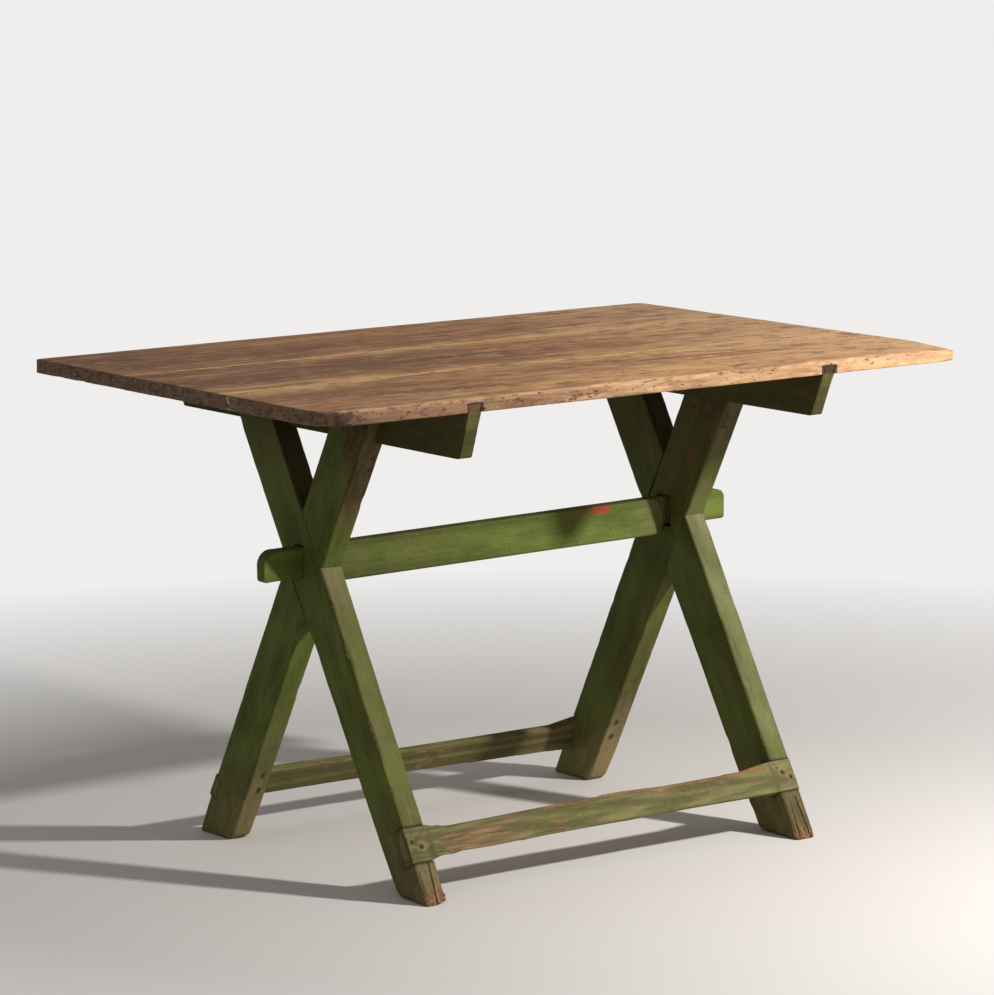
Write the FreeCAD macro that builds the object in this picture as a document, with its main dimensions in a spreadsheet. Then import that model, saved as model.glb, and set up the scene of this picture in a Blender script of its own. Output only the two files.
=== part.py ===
"""Sawbuck table: a three-board top on two crossed-leg frames, in millimetres.

The floor is Z = 0 and the origin is under the centre of the top. X runs along the table, from the
left frame to the right one, Y runs from the front edge to the back edge, and Z is up. Each frame
is a pair of legs in a plane across the table. One leg has its foot at the front and its top at the
back, and the other leg crosses it the other way, so they are called front_foot and back_foot here.
"""
import FreeCAD, Part
import math
import os
import Sketcher

doc = FreeCAD.newDocument("SawbuckTable")
sheet = doc.addObject("Spreadsheet::Sheet", "dim")

# Every driving dimension, once. Y values are measured from the middle of the table, front is minus.
DIMENSIONS = [
    # Top
    ("table_length", 1178), ("table_width", 794), ("table_height", 760), ("top_thickness", 22),
    ("front_board_width", 266), ("back_board_width", 264),
    ("worn_corner_radius", 55), ("corner_radius", 15),
    ("dowel_diameter", 9), ("dowel_length", 60), ("dowel_spacing", 270),
    # Battens, each a plank on edge with a dovetail that slides into the top
    ("batten_thickness", 23), ("left_batten_depth", 70), ("right_batten_depth", 66),
    ("batten_proud", 8),
    ("dovetail_depth", 13), ("dovetail_neck", 19), ("dovetail_head", 25), ("dovetail_inset", 2),
    ("left_batten_slant", 26), ("left_batten_round", 8),
    ("right_batten_slant", 31), ("right_batten_round", 6), ("batten_back_slant", 24),
    # Frames
    ("base_shift", 4), ("frame_span", 654), ("leg_thickness", 40),
    ("left_front_foot_y", -274), ("left_front_foot_width", 79),
    ("left_front_foot_top_y", 163), ("left_front_foot_top_width", 103),
    ("left_back_foot_y", 268), ("left_back_foot_width", 90),
    ("left_back_foot_top_y", -151), ("left_back_foot_top_width", 97),
    ("right_front_foot_y", -279), ("right_front_foot_width", 95),
    ("right_front_foot_top_y", 160), ("right_front_foot_top_width", 113),
    ("right_back_foot_y", 260), ("right_back_foot_width", 96),
    ("right_back_foot_top_y", -135), ("right_back_foot_top_width", 112),
    # Centre rail, with a tenon through each crossing
    ("left_rail_bottom", 435), ("right_rail_bottom", 441.5), ("rail_height", 60),
    ("rail_depth", 24), ("rail_front", -1), ("rail_lower_arris", 6), ("rail_upper_arris", 2.5),
    ("shoulder_gap", 7),
    ("tenon_rise", 12), ("tenon_height", 48), ("tenon_thickness", 20), ("tenon_setback", 3),
    ("left_tenon_reach", 70), ("right_tenon_reach", 81),
    ("left_tenon_round", 22), ("right_tenon_round", 14), ("tenon_lower_round", 6),
    ("mortise_clearance", 2), ("left_mortise_slack", 1.5), ("right_mortise_slack", 13),
    # Stretchers, heights given on the face that is toward the front
    ("front_stretcher_thickness", 27), ("front_stretcher_bevel", 3),
    ("front_left_bottom", 59), ("front_left_top", 108),
    ("front_waist_bottom", 66), ("front_waist_top", 100), ("front_waist_reach", 50),
    ("front_middle_bottom", 70), ("front_middle_top", 104),
    ("front_swell_bottom", 71), ("front_swell_top", 108), ("front_swell_reach", 66),
    ("front_right_bottom", 71), ("front_right_top", 115),
    ("back_stretcher_thickness", 19.5), ("back_stretcher_bevel", 6.5), ("back_notch", 17),
    ("back_left_bottom", 56), ("back_left_top", 97),
    ("back_middle_bottom", 52), ("back_middle_top", 90),
    ("back_swell_bottom", 47), ("back_swell_top", 89), ("back_swell_reach", 46),
    ("back_right_bottom", 45), ("back_right_top", 98),
    # Nails, sunk a little below the face that they are driven into
    ("nail_diameter", 5), ("nail_head_diameter", 8), ("nail_head_thickness", 2), ("nail_sink", 1),
    ("nail_clearance", 0.15), ("nail_in_stretcher_length", 55), ("nail_through_leg_length", 100),
    ("nail_in_batten_length", 85), ("pair_spacing", 14), ("pair_stagger", 8),
    ("nail_off_centre", 4), ("through_nail_rise", 9), ("through_nail_spacing", 26),
    ("through_nail_drop", 15), ("batten_nail_below", 24), ("batten_nail_spacing", 20),
    ("batten_nail_climb", 53), ("batten_nail_edge", 4),
]
for row, (alias, value) in enumerate(DIMENSIONS, start=1):
    sheet.set(f"A{row}", alias)
    sheet.set(f"B{row}", str(value))
    sheet.setAlias(f"B{row}", alias)
doc.recompute()


def plus(*terms):
    """Sum of expressions, in brackets."""
    return "(" + " + ".join(terms) + ")"


def minus(first, *others):
    """The first expression less the others, in brackets."""
    return "(" + " - ".join((first,) + others) + ")"


def times(*factors):
    """Product of expressions and numbers, in brackets."""
    return "(" + " * ".join(str(factor) for factor in factors) + ")"


def between(start, end, share):
    """Expression that lies the given share of the way from start to end."""
    return plus(start, times(minus(end, start), share))


UNDERSIDE = minus("dim.table_height", "dim.top_thickness")
LEFT_INNER = minus("dim.base_shift", "dim.frame_span / 2")
RIGHT_INNER = plus("dim.base_shift", "dim.frame_span / 2")
LEFT_OUTER = minus(LEFT_INNER, "dim.leg_thickness")
RIGHT_OUTER = plus(RIGHT_INNER, "dim.leg_thickness")
FRONT_EDGE = "(-dim.table_width / 2)"
BACK_EDGE = "(dim.table_width / 2)"
FRONT_SEAM = plus(FRONT_EDGE, "dim.front_board_width")
BACK_SEAM = minus(BACK_EDGE, "dim.back_board_width")
LEFT_END = "(-dim.table_length / 2)"
RIGHT_END = "(dim.table_length / 2)"
BATTEN_BOTTOM = {side: minus(UNDERSIDE, f"dim.{side}_batten_depth") for side in ("left", "right")}
BATTEN_NOTCH = minus("dim.batten_thickness", "dim.batten_proud")
TENON_FRONT = plus("dim.rail_front", "dim.tenon_setback")
TENON_BACK = plus(TENON_FRONT, "dim.tenon_thickness")


class Slope:
    """Straight leaning edge of a leg: its Y at the floor and at the underside of the top."""

    def __init__(self, foot, top):
        self.foot = foot
        self.top = top
        self.lean = f"({minus(top, foot)} / {UNDERSIDE})"

    def at(self, height):
        """Y of the edge at a height."""
        return plus(self.foot, times(self.lean, height))

    def level_width(self, depth):
        """Level distance over a depth that is measured square to the edge."""
        return times(depth, f"sqrt(1 + {self.lean} * {self.lean})")

    def behind(self, point, depth):
        """Y and Z of the point that lies depth behind another, square to the edge."""
        across = f"({depth} / sqrt(1 + {self.lean} * {self.lean}))"
        return plus(point[0], across), minus(point[1], times(across, self.lean))


class LegLines:
    """Front and back edge of one leg, from its middle and its level width at foot and top."""

    def __init__(self, name):
        half_foot = f"dim.{name}_width / 2"
        half_top = f"dim.{name}_top_width / 2"
        self.front = Slope(minus(f"dim.{name}_y", half_foot), minus(f"dim.{name}_top_y", half_top))
        self.back = Slope(plus(f"dim.{name}_y", half_foot), plus(f"dim.{name}_top_y", half_top))

    def outline(self):
        """Corners of the leg from the side, cut level at the floor and under the top."""
        return [(self.front.foot, "0"), (self.back.foot, "0"),
                (self.back.top, UNDERSIDE), (self.front.top, UNDERSIDE)]


LEGS = {name: LegLines(name)
        for name in ("left_front_foot", "left_back_foot", "right_front_foot", "right_back_foot")}


def share_at(place):
    """Share of the way from the left frame's inner face to the right one's."""
    return f"({minus(place, LEFT_INNER)} / dim.frame_span)"


def rail_bottom_at(place):
    """Height of the rail's lower edge, which rises a little from the left frame to the right."""
    return between("dim.left_rail_bottom", "dim.right_rail_bottom", share_at(place))


def tenon_bottom_at(place):
    """Height of the tenon's lower edge."""
    return plus(rail_bottom_at(place), "dim.tenon_rise")


def new_body(name):
    """Empty body with its label."""
    body = doc.addObject("PartDesign::Body", name)
    body.Label = name
    return body


def outline(body, role, offset, corners):
    """Closed sketch through the corners, on an origin plane moved along its normal by offset."""
    sketch = body.newObject("Sketcher::SketchObject", "Outline")
    plane = next(item for item in body.Origin.OriginFeatures if item.Role == role)
    sketch.AttachmentSupport = [(plane, "")]
    sketch.MapMode = "FlatFace"
    sketch.setExpression("AttachmentOffset.Base.z", offset)
    count = len(corners)
    starts = [FreeCAD.Vector(math.cos(2 * math.pi * i / count), math.sin(2 * math.pi * i / count), 0)
              for i in range(count)]
    for i in range(count):
        sketch.addGeometry(Part.LineSegment(starts[i], starts[(i + 1) % count]), False)
    for i, (across, along) in enumerate(corners):
        sketch.addConstraint(Sketcher.Constraint("Coincident", i, 2, (i + 1) % count, 1))
        for axis, expression in (("X", across), ("Y", along)):
            index = sketch.addConstraint(Sketcher.Constraint(f"Distance{axis}", -1, 1, i, 1, 1.0))
            sketch.renameConstraint(index, f"corner_{i}_{axis}")
            sketch.setExpression(f"Constraints.corner_{i}_{axis}", expression)
    return sketch


def rectangle(low, high):
    """Corners of a rectangle from its lowest and highest corner."""
    return [(low[0], low[1]), (high[0], low[1]), (high[0], high[1]), (low[0], high[1])]


def pad(body, sketch, length):
    """Material along the sketch's normal."""
    feature = body.newObject("PartDesign::Pad", "Pad")
    feature.Profile = sketch
    feature.setExpression("Length", length)
    doc.recompute()
    return feature


def pocket(body, sketch, depth):
    """Cut against the sketch's normal, which must take material away."""
    volume = body.Shape.Volume
    feature = body.newObject("PartDesign::Pocket", "Pocket")
    feature.Profile = sketch
    feature.setExpression("Length", depth)
    doc.recompute()
    if body.Shape.Volume > volume - 1:
        raise RuntimeError(f"{body.Label}: a pocket cuts nothing")
    return feature


def edges_where(shape, test):
    """Names of the shape's edges whose bounding box passes the test."""
    return [f"Edge{i}" for i, edge in enumerate(shape.Edges, start=1) if test(edge.BoundBox)]


def fillet(body, radius, test):
    """Round the edges of the body's last feature that pass the test."""
    last = body.Tip
    feature = body.newObject("PartDesign::Fillet", "Fillet")
    feature.Base = (last, edges_where(last.Shape, test))
    feature.setExpression("Radius", radius)
    doc.recompute()


def near(value, target):
    """Whether two lengths agree to a hundredth of a millimetre."""
    return abs(value - target) < 0.01


def number(expression):
    """Present value of an expression, for picking edges by their place."""
    return float(sheet.evalExpression(expression.replace("dim.", "")))


def cylinder(radius, height, place, angle):
    """Cylinder from a point along +Z turned about X, with every size an expression."""
    solid = doc.addObject("Part::Cylinder", "Cylinder")
    solid.setExpression("Radius", radius)
    solid.setExpression("Height", height)
    solid.Placement = FreeCAD.Placement(FreeCAD.Vector(), FreeCAD.Rotation(FreeCAD.Vector(1, 0, 0), 90))
    for axis, expression in zip("xyz", place):
        solid.setExpression(f"Placement.Base.{axis}", expression)
    solid.setExpression("Placement.Rotation.Angle", angle)
    return solid


def group(name, solids):
    """One object of several solids, fused where they meet."""
    fused = doc.addObject("Part::MultiFuse", name)
    fused.Label = name
    fused.Shapes = solids
    return fused


def bored(name, body, bores):
    """The body less the bores that pass through it, as the sub-part of that name."""
    tool = group(f"{name}_bores", bores)
    cut = doc.addObject("Part::Cut", name)
    cut.Label = name
    cut.Base = body
    cut.Tool = tool
    return cut


def nail(place, climb, length):
    """Solids of a nail and of its bore, from a point on a face and the climb of its axis."""
    angle = minus(climb, "90")
    along_y, along_z = f"cos({climb})", f"sin({climb})"

    def on_axis(distance):
        return (place[0], plus(place[1], times(distance, along_y)),
                plus(place[2], times(distance, along_z)))

    seat = plus("dim.nail_sink", "dim.nail_head_thickness")
    head = cylinder("dim.nail_head_diameter / 2", "dim.nail_head_thickness",
                    on_axis("dim.nail_sink"), angle)
    shank = cylinder("dim.nail_diameter / 2", minus(length, "dim.nail_sink"),
                     on_axis("dim.nail_sink"), angle)
    mouth = cylinder(plus("dim.nail_head_diameter / 2", "dim.nail_clearance"),
                     plus(seat, "dim.nail_head_diameter"),
                     on_axis("(-dim.nail_head_diameter)"), angle)
    bore = cylinder(plus("dim.nail_diameter / 2", "dim.nail_clearance"),
                    plus(length, "dim.nail_clearance"), on_axis("0"), angle)
    return [head, shank], [mouth, bore]


def nail_pair(name, places, climb, length):
    """Node of two nails; returns it and the bores of both."""
    nails, bores = [], []
    for place in places:
        solids, holes = nail(place, climb, length)
        nails += solids
        bores += holes
    return group(name, nails), bores


def leg(side, foot, other, low, notch):
    """Leg blank with its half lap, mortise, batten notch and stretcher notch.

    low is the X of the leg's face that is nearer to minus X. The front-foot leg keeps its outer half
    at the lap, and the back-foot leg keeps its inner half.
    """
    body = new_body(f"{side}_{foot}_blank")
    high = plus(low, "dim.leg_thickness")
    middle = plus(low, "dim.leg_thickness / 2")
    pad(body, outline(body, "YZ_Plane", low, LEGS[f"{side}_{foot}"].outline()), "dim.leg_thickness")
    inner_is_low = side == "right"
    cuts_low_half = inner_is_low == (foot == "front_foot")
    lap_face = middle if cuts_low_half else high
    lap = outline(body, "YZ_Plane", lap_face, LEGS[f"{side}_{other}"].outline())
    pocket(body, lap, "dim.leg_thickness / 2")
    ends = f"{tenon_bottom_at(low)}; {tenon_bottom_at(high)}"
    mortise = rectangle((minus(TENON_FRONT, f"dim.{side}_mortise_slack"), f"min({ends})"),
                        (plus(TENON_BACK, "dim.mortise_clearance"),
                         plus(f"max({ends})", "dim.tenon_height", "dim.mortise_clearance")))
    pocket(body, outline(body, "YZ_Plane", high, mortise), "dim.leg_thickness")
    notch_face = plus(low, BATTEN_NOTCH) if inner_is_low else high
    seat = rectangle((FRONT_EDGE, BATTEN_BOTTOM[side]), (BACK_EDGE, UNDERSIDE))
    pocket(body, outline(body, "YZ_Plane", notch_face, seat), BATTEN_NOTCH)
    pocket(body, outline(body, "YZ_Plane", high, notch), "dim.leg_thickness")
    return body


# How far a stretcher's front face lies ahead of the leg edge that it is let into.
AHEAD = {"front": "0", "back": "dim.back_notch"}


def edge_with_stretcher(place, side):
    """Leaning edge of the leg that the front or the back stretcher is let into."""
    return getattr(LEGS[f"{side}_{place}_foot"], place)


def front_face_point(place, side, height):
    """Point of a stretcher's front face at a height."""
    slope = edge_with_stretcher(place, side)
    return minus(slope.at(height), slope.level_width(AHEAD[place])), height


def stretcher_section(place, side, bottom, top):
    """Corners of a stretcher's section, with a bevel along its upper arris at the back."""
    slope = edge_with_stretcher(place, side)
    thickness, bevel = f"dim.{place}_stretcher_thickness", f"dim.{place}_stretcher_bevel"
    low, shoulder, high = [front_face_point(place, side, height)
                           for height in (bottom, minus(top, bevel), top)]
    return [low, slope.behind(low, thickness), slope.behind(shoulder, thickness),
            slope.behind(high, minus(thickness, bevel)), high]


def stretcher_notch(place, side):
    """Corners of the square notch that a stretcher's end lies in."""
    slope = edge_with_stretcher(place, side)
    low, high = [front_face_point(place, side, f"dim.{place}_{side}_{limit}")
                 for limit in ("bottom", "top")]
    thickness = f"dim.{place}_stretcher_thickness"
    return [low, slope.behind(low, thickness), slope.behind(high, thickness), high]


def end_section(place, side):
    """Section of a stretcher's end."""
    return stretcher_section(place, side, f"dim.{place}_{side}_bottom", f"dim.{place}_{side}_top")


def section_between(place, name, x):
    """X and section of a stretcher at a place between the frames, with its own bottom and top."""
    bottom, top = f"dim.{place}_{name}_bottom", f"dim.{place}_{name}_top"
    left, right = [stretcher_section(place, side, bottom, top) for side in ("left", "right")]
    return x, [(between(a[0], b[0], share_at(x)), between(a[1], b[1], share_at(x)))
               for a, b in zip(left, right)]


def stretcher(place, middle_sections):
    """Stretcher blank, lofted straight from each section to the next along X."""
    body = new_body(f"{place}_stretcher_blank")
    left, right = end_section(place, "left"), end_section(place, "right")
    sections = [(LEFT_OUTER, left), (LEFT_INNER, left), *middle_sections,
                (RIGHT_INNER, right), (RIGHT_OUTER, right)]
    sketches = [outline(body, "YZ_Plane", x, corners) for x, corners in sections]
    loft = body.newObject("PartDesign::AdditiveLoft", "Loft")
    loft.Profile = sketches[0]
    loft.Sections = sketches[1:]
    loft.Ruled = True
    doc.recompute()


# Stretchers. Their ends are as long as the legs are thick, and lie in the notches of the legs.
stretcher("front", [
    section_between("front", "waist", plus(LEFT_INNER, "dim.front_waist_reach")),
    section_between("front", "middle", "dim.base_shift"),
    section_between("front", "swell", minus(RIGHT_INNER, "dim.front_swell_reach"))])
stretcher("back", [
    section_between("back", "middle", "dim.base_shift"),
    section_between("back", "swell", minus(RIGHT_INNER, "dim.back_swell_reach"))])

# Legs
for side, low in (("left", LEFT_OUTER), ("right", RIGHT_INNER)):
    leg(side, "front_foot", "back_foot", low, stretcher_notch("front", side))
    leg(side, "back_foot", "front_foot", low, stretcher_notch("back", side))


def along_x_at(y, z):
    """Test for an edge that runs along X at a place seen from the side."""
    def test(box):
        return near(box.YMin, y) and near(box.YMax, y) and near(box.ZMin, z) and near(box.ZMax, z)
    return test


# Battens
BATTEN_LOW = {"left": minus(plus(LEFT_INNER, "dim.batten_proud"), "dim.batten_thickness"),
              "right": minus(RIGHT_INNER, "dim.batten_proud")}
for side, low in BATTEN_LOW.items():
    batten = new_body(f"{side}_batten_blank")
    profile = [(plus(FRONT_EDGE, f"dim.{side}_batten_slant"), BATTEN_BOTTOM[side]),
               (minus(BACK_EDGE, "dim.batten_back_slant"), BATTEN_BOTTOM[side]),
               (minus(BACK_EDGE, "dim.dovetail_inset"), UNDERSIDE),
               (plus(FRONT_EDGE, "dim.dovetail_inset"), UNDERSIDE)]
    pad(batten, outline(batten, "YZ_Plane", low, profile), "dim.batten_thickness")
    fillet(batten, f"dim.{side}_batten_round",
           along_x_at(number(profile[0][0]), number(profile[0][1])))


def dovetail(side, clearance):
    """Corners of the dovetail across the batten, widened by a clearance for its slot."""
    centre = plus(BATTEN_LOW[side], "dim.batten_thickness / 2")
    neck = plus("dim.dovetail_neck / 2", clearance)
    head = plus("dim.dovetail_head / 2", clearance)
    crown = plus(UNDERSIDE, "dim.dovetail_depth", clearance)
    return [(minus(centre, neck), UNDERSIDE), (plus(centre, neck), UNDERSIDE),
            (plus(centre, head), crown), (minus(centre, head), crown)]


for side in BATTEN_LOW:
    batten = doc.getObject(f"{side}_batten_blank")
    tail_length = minus("dim.table_width", "2 * dim.dovetail_inset")
    tail_end = plus(FRONT_EDGE, "dim.dovetail_inset")
    pad(batten, outline(batten, "XZ_Plane", tail_end, dovetail(side, "0")), tail_length)


# Centre rail
def long_outline(start, end, rise, height):
    """Corners of a bar along the rail's lower edge, from one X to another."""
    low = [(place, plus(rail_bottom_at(place), rise)) for place in (start, end)]
    return low + [(place, plus(level, height)) for place, level in reversed(low)]


rail = new_body("centre_rail")
tenon_outline = long_outline(minus(LEFT_OUTER, "dim.left_tenon_reach"),
                             plus(RIGHT_OUTER, "dim.right_tenon_reach"),
                             "dim.tenon_rise", "dim.tenon_height")
pad(rail, outline(rail, "XZ_Plane", minus("0", TENON_BACK), tenon_outline), "dim.tenon_thickness")


def across_y_at(x, z):
    """Test for an edge that runs along Y at a place seen from the front."""
    def test(box):
        return near(box.XMin, x) and near(box.XMax, x) and near(box.ZMin, z) and near(box.ZMax, z)
    return test


for (x, z), radius in zip(tenon_outline, ("dim.tenon_lower_round", "dim.tenon_lower_round",
                                          "dim.right_tenon_round", "dim.left_tenon_round")):
    fillet(rail, radius, across_y_at(number(x), number(z)))
rail_outline = long_outline(LEFT_INNER, minus(RIGHT_INNER, "dim.shoulder_gap"), "0", "dim.rail_height")
rail_back = plus("dim.rail_front", "dim.rail_depth")
pad(rail, outline(rail, "XZ_Plane", minus("0", rail_back), rail_outline), "dim.rail_depth")


def long_front_edge_at(y, z):
    """Test for the rail's long front edge that passes a point."""
    def test(box):
        long_enough = box.XLength > number("dim.frame_span") / 2
        return long_enough and near(box.YMax, y) and box.ZMin - 0.01 < z < box.ZMax + 0.01
    return test


for corner, radius in ((rail_outline[0], "dim.rail_lower_arris"),
                       (rail_outline[3], "dim.rail_upper_arris")):
    fillet(rail, radius, long_front_edge_at(number("dim.rail_front"), number(corner[1])))

# Top boards
BOARDS = {"front": (FRONT_EDGE, FRONT_SEAM), "middle": (FRONT_SEAM, BACK_SEAM),
          "back": (BACK_SEAM, BACK_EDGE)}
for place, (front, back) in BOARDS.items():
    board = new_body(f"top_board_{place}_blank")
    plan = rectangle((LEFT_END, front), (RIGHT_END, back))
    pad(board, outline(board, "XY_Plane", UNDERSIDE, plan), "dim.top_thickness")
    for side in BATTEN_LOW:
        slot = outline(board, "XZ_Plane", minus("0", front), dovetail(side, "dim.nail_clearance"))
        pocket(board, slot, minus(back, front))


def upright_at(x, y):
    """Test for an upright edge at a place seen from above."""
    def test(box):
        return near(box.XMin, x) and near(box.XMax, x) and near(box.YMin, y) and near(box.YMax, y)
    return test


front_board = doc.getObject("top_board_front_blank")
back_board = doc.getObject("top_board_back_blank")
half_length, half_width = number("dim.table_length") / 2, number("dim.table_width") / 2
fillet(front_board, "dim.worn_corner_radius", upright_at(-half_length, -half_width))
fillet(front_board, "dim.corner_radius", upright_at(half_length, -half_width))
fillet(back_board, "dim.corner_radius", upright_at(half_length, half_width))
fillet(back_board, "dim.corner_radius", upright_at(-half_length, half_width))

# Dowels across the seams, evenly spaced about the middle of the table
DOWEL_STEPS = (-1.5, -0.5, 0.5, 1.5)
half_depth = minus("dim.table_height", "dim.top_thickness / 2")
dowel_bores = {}
for place, seam in (("front", FRONT_SEAM), ("back", BACK_SEAM)):
    dowels, bores = [], []
    for step in DOWEL_STEPS:
        start = (times("dim.dowel_spacing", step), plus(seam, "dim.dowel_length / 2"), half_depth)
        dowels.append(cylinder("dim.dowel_diameter / 2", "dim.dowel_length", start, "90"))
        bore_start = (start[0], plus(start[1], "dim.nail_clearance"), start[2])
        bores.append(cylinder(plus("dim.dowel_diameter / 2", "dim.nail_clearance"),
                              plus("dim.dowel_length", "2 * dim.nail_clearance"), bore_start, "90"))
    group(f"{place}_seam_dowels", dowels)
    dowel_bores[place] = bores
bored("top_board_front", front_board, dowel_bores["front"])
bored("top_board_middle", doc.getObject("top_board_middle_blank"),
      dowel_bores["front"] + dowel_bores["back"])
bored("top_board_back", back_board, dowel_bores["back"])

# Nails
leg_bores = {name: [] for name in LEGS}
batten_bores = {side: [] for side in BATTEN_LOW}
stretcher_bores = {"front": [], "back": []}
for side, outward, outer in (("left", "-1", LEFT_OUTER), ("right", "1", RIGHT_OUTER)):
    leg_middle = minus(outer, times(outward, "dim.leg_thickness / 2"))

    # Front stretcher: a pair into the front-foot leg, square to its leaning front edge.
    name = f"{side}_front_foot"
    slope = LEGS[name].front
    height = f"((dim.front_{side}_bottom + dim.front_{side}_top) / 2)"
    pair_middle = plus(leg_middle, times(outward, "dim.nail_off_centre"))
    places = []
    for sign in ("-1", "1"):
        level = plus(height, times(sign, "dim.pair_stagger / 2"))
        across = minus(pair_middle, times(sign, "dim.pair_spacing / 2"))
        places.append((across, slope.at(level), level))
    _, bores = nail_pair(f"front_stretcher_nails_{side}", places, f"(-atan({slope.lean}) / 1 deg)",
                         "dim.nail_in_stretcher_length")
    leg_bores[name] += bores
    stretcher_bores["front"] += bores

    # Back stretcher: a pair one above the other, through the back-foot leg from its front edge.
    name = f"{side}_back_foot"
    slope = LEGS[name].front
    height = plus(f"((dim.back_{side}_bottom + dim.back_{side}_top) / 2)", "dim.through_nail_rise")
    across = minus(leg_middle, times(outward, "dim.nail_off_centre"))
    places = [(across, slope.at(level), level)
              for level in (height, plus(height, "dim.through_nail_spacing"))]
    _, bores = nail_pair(f"back_stretcher_nails_{side}", places, "(-dim.through_nail_drop)",
                         "dim.nail_through_leg_length")
    leg_bores[name] += bores
    stretcher_bores["back"] += bores

    # Batten: a pair driven upward through each leg into the batten's lower edge.
    far_face = {"left": BATTEN_LOW["left"],
                "right": plus(BATTEN_LOW["right"], "dim.batten_thickness")}[side]
    across = minus(far_face, times(outward, "dim.batten_nail_edge"))
    for foot, edge, climb in (("back_foot", "front", "dim.batten_nail_climb"),
                              ("front_foot", "back", "(180 - dim.batten_nail_climb)")):
        name = f"{side}_{foot}"
        slope = getattr(LEGS[name], edge)
        high = minus(BATTEN_BOTTOM[side], "dim.batten_nail_below")
        places = [(across, slope.at(level), level)
                  for level in (high, minus(high, "dim.batten_nail_spacing"))]
        _, bores = nail_pair(f"batten_nails_{name}", places, climb, "dim.nail_in_batten_length")
        leg_bores[name] += bores
        batten_bores[side] += bores

for name, bores in leg_bores.items():
    bored(f"{name}_leg", doc.getObject(f"{name}_blank"), bores)
for side, bores in batten_bores.items():
    bored(f"{side}_batten", doc.getObject(f"{side}_batten_blank"), bores)
for place, bores in stretcher_bores.items():
    bored(f"{place}_stretcher", doc.getObject(f"{place}_stretcher_blank"), bores)
doc.recompute()

NODES = ["top_board_front", "top_board_middle", "top_board_back", "front_seam_dowels",
         "back_seam_dowels", "left_batten", "right_batten", "left_front_foot_leg",
         "left_back_foot_leg", "right_front_foot_leg", "right_back_foot_leg", "centre_rail",
         "front_stretcher", "back_stretcher", "front_stretcher_nails_left",
         "front_stretcher_nails_right", "back_stretcher_nails_left", "back_stretcher_nails_right",
         "batten_nails_left_front_foot", "batten_nails_left_back_foot",
         "batten_nails_right_front_foot", "batten_nails_right_back_foot"]

for item in doc.Objects:
    if "Invalid" in item.State or "Error" in item.State:
        raise RuntimeError(f"{item.Name} ({item.Label}): {item.State}")

os.makedirs("parts", exist_ok=True)
for name in NODES:
    shape = doc.getObject(name).Shape
    if shape.isNull() or not shape.isValid():
        raise RuntimeError(f"{name}: shape is null or not valid")
    shape.exportStep(f"parts/{name}.step")
    box = shape.BoundBox
    print(f"{name}: {len(shape.Solids)} solid(s), {shape.Volume / 1000:.1f} cm3, "
          f"X {box.XMin:.1f}..{box.XMax:.1f}, Y {box.YMin:.1f}..{box.YMax:.1f}, "
          f"Z {box.ZMin:.1f}..{box.ZMax:.1f}")
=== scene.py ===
import itertools
from math import atan2, cos, pi, radians, sin
from types import SimpleNamespace

import bmesh
import bpy
import numpy as np
from mathutils import Matrix, Vector


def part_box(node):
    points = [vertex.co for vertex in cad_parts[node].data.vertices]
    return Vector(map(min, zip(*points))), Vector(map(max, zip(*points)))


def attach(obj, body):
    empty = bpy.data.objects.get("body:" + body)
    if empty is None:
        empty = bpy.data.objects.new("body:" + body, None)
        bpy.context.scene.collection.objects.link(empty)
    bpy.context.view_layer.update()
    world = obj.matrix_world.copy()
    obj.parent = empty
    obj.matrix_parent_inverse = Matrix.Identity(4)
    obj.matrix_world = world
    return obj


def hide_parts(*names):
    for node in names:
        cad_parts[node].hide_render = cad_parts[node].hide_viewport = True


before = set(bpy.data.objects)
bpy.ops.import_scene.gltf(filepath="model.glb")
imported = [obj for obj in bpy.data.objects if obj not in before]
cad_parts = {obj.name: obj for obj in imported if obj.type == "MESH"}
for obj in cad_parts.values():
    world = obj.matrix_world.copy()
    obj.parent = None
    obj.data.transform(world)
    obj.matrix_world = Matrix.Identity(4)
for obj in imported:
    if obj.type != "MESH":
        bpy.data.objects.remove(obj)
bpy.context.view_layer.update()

MM = 0.001
TINY = 1e-9


# ------------------------------------------------------------------ camera

CAMERA_PLACE = Vector((-3.97194, -5.46795, 1.60444))
CAMERA_TURN = radians(-35.9795)
CAMERA_TILT = radians(-9.0029)
CAMERA_ROLL = radians(-0.5194)
CAMERA_LENS = 159.643
CAMERA_SENSOR = 36
CAMERA_REACH = (0.1, 60)


def add_camera():
    """The camera, from its place and its three angles."""
    ahead = Vector(
        (
            -sin(CAMERA_TURN) * cos(CAMERA_TILT),
            cos(CAMERA_TURN) * cos(CAMERA_TILT),
            sin(CAMERA_TILT),
        )
    )
    level = ahead.cross(Vector((0, 0, 1))).normalized()
    upright = level.cross(ahead)
    right = cos(CAMERA_ROLL) * level + sin(CAMERA_ROLL) * upright
    up = -sin(CAMERA_ROLL) * level + cos(CAMERA_ROLL) * upright
    data = bpy.data.cameras.new("camera")
    data.lens = CAMERA_LENS
    data.sensor_width = CAMERA_SENSOR
    data.clip_start, data.clip_end = CAMERA_REACH
    camera = bpy.data.objects.new("camera", data)
    turn = Matrix((right, up, -ahead)).transposed()
    camera.matrix_world = Matrix.Translation(CAMERA_PLACE) @ turn.to_4x4()
    bpy.context.scene.collection.objects.link(camera)
    bpy.context.scene.camera = camera


add_camera()


# ------------------------------------------------------------------ shapes


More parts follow.
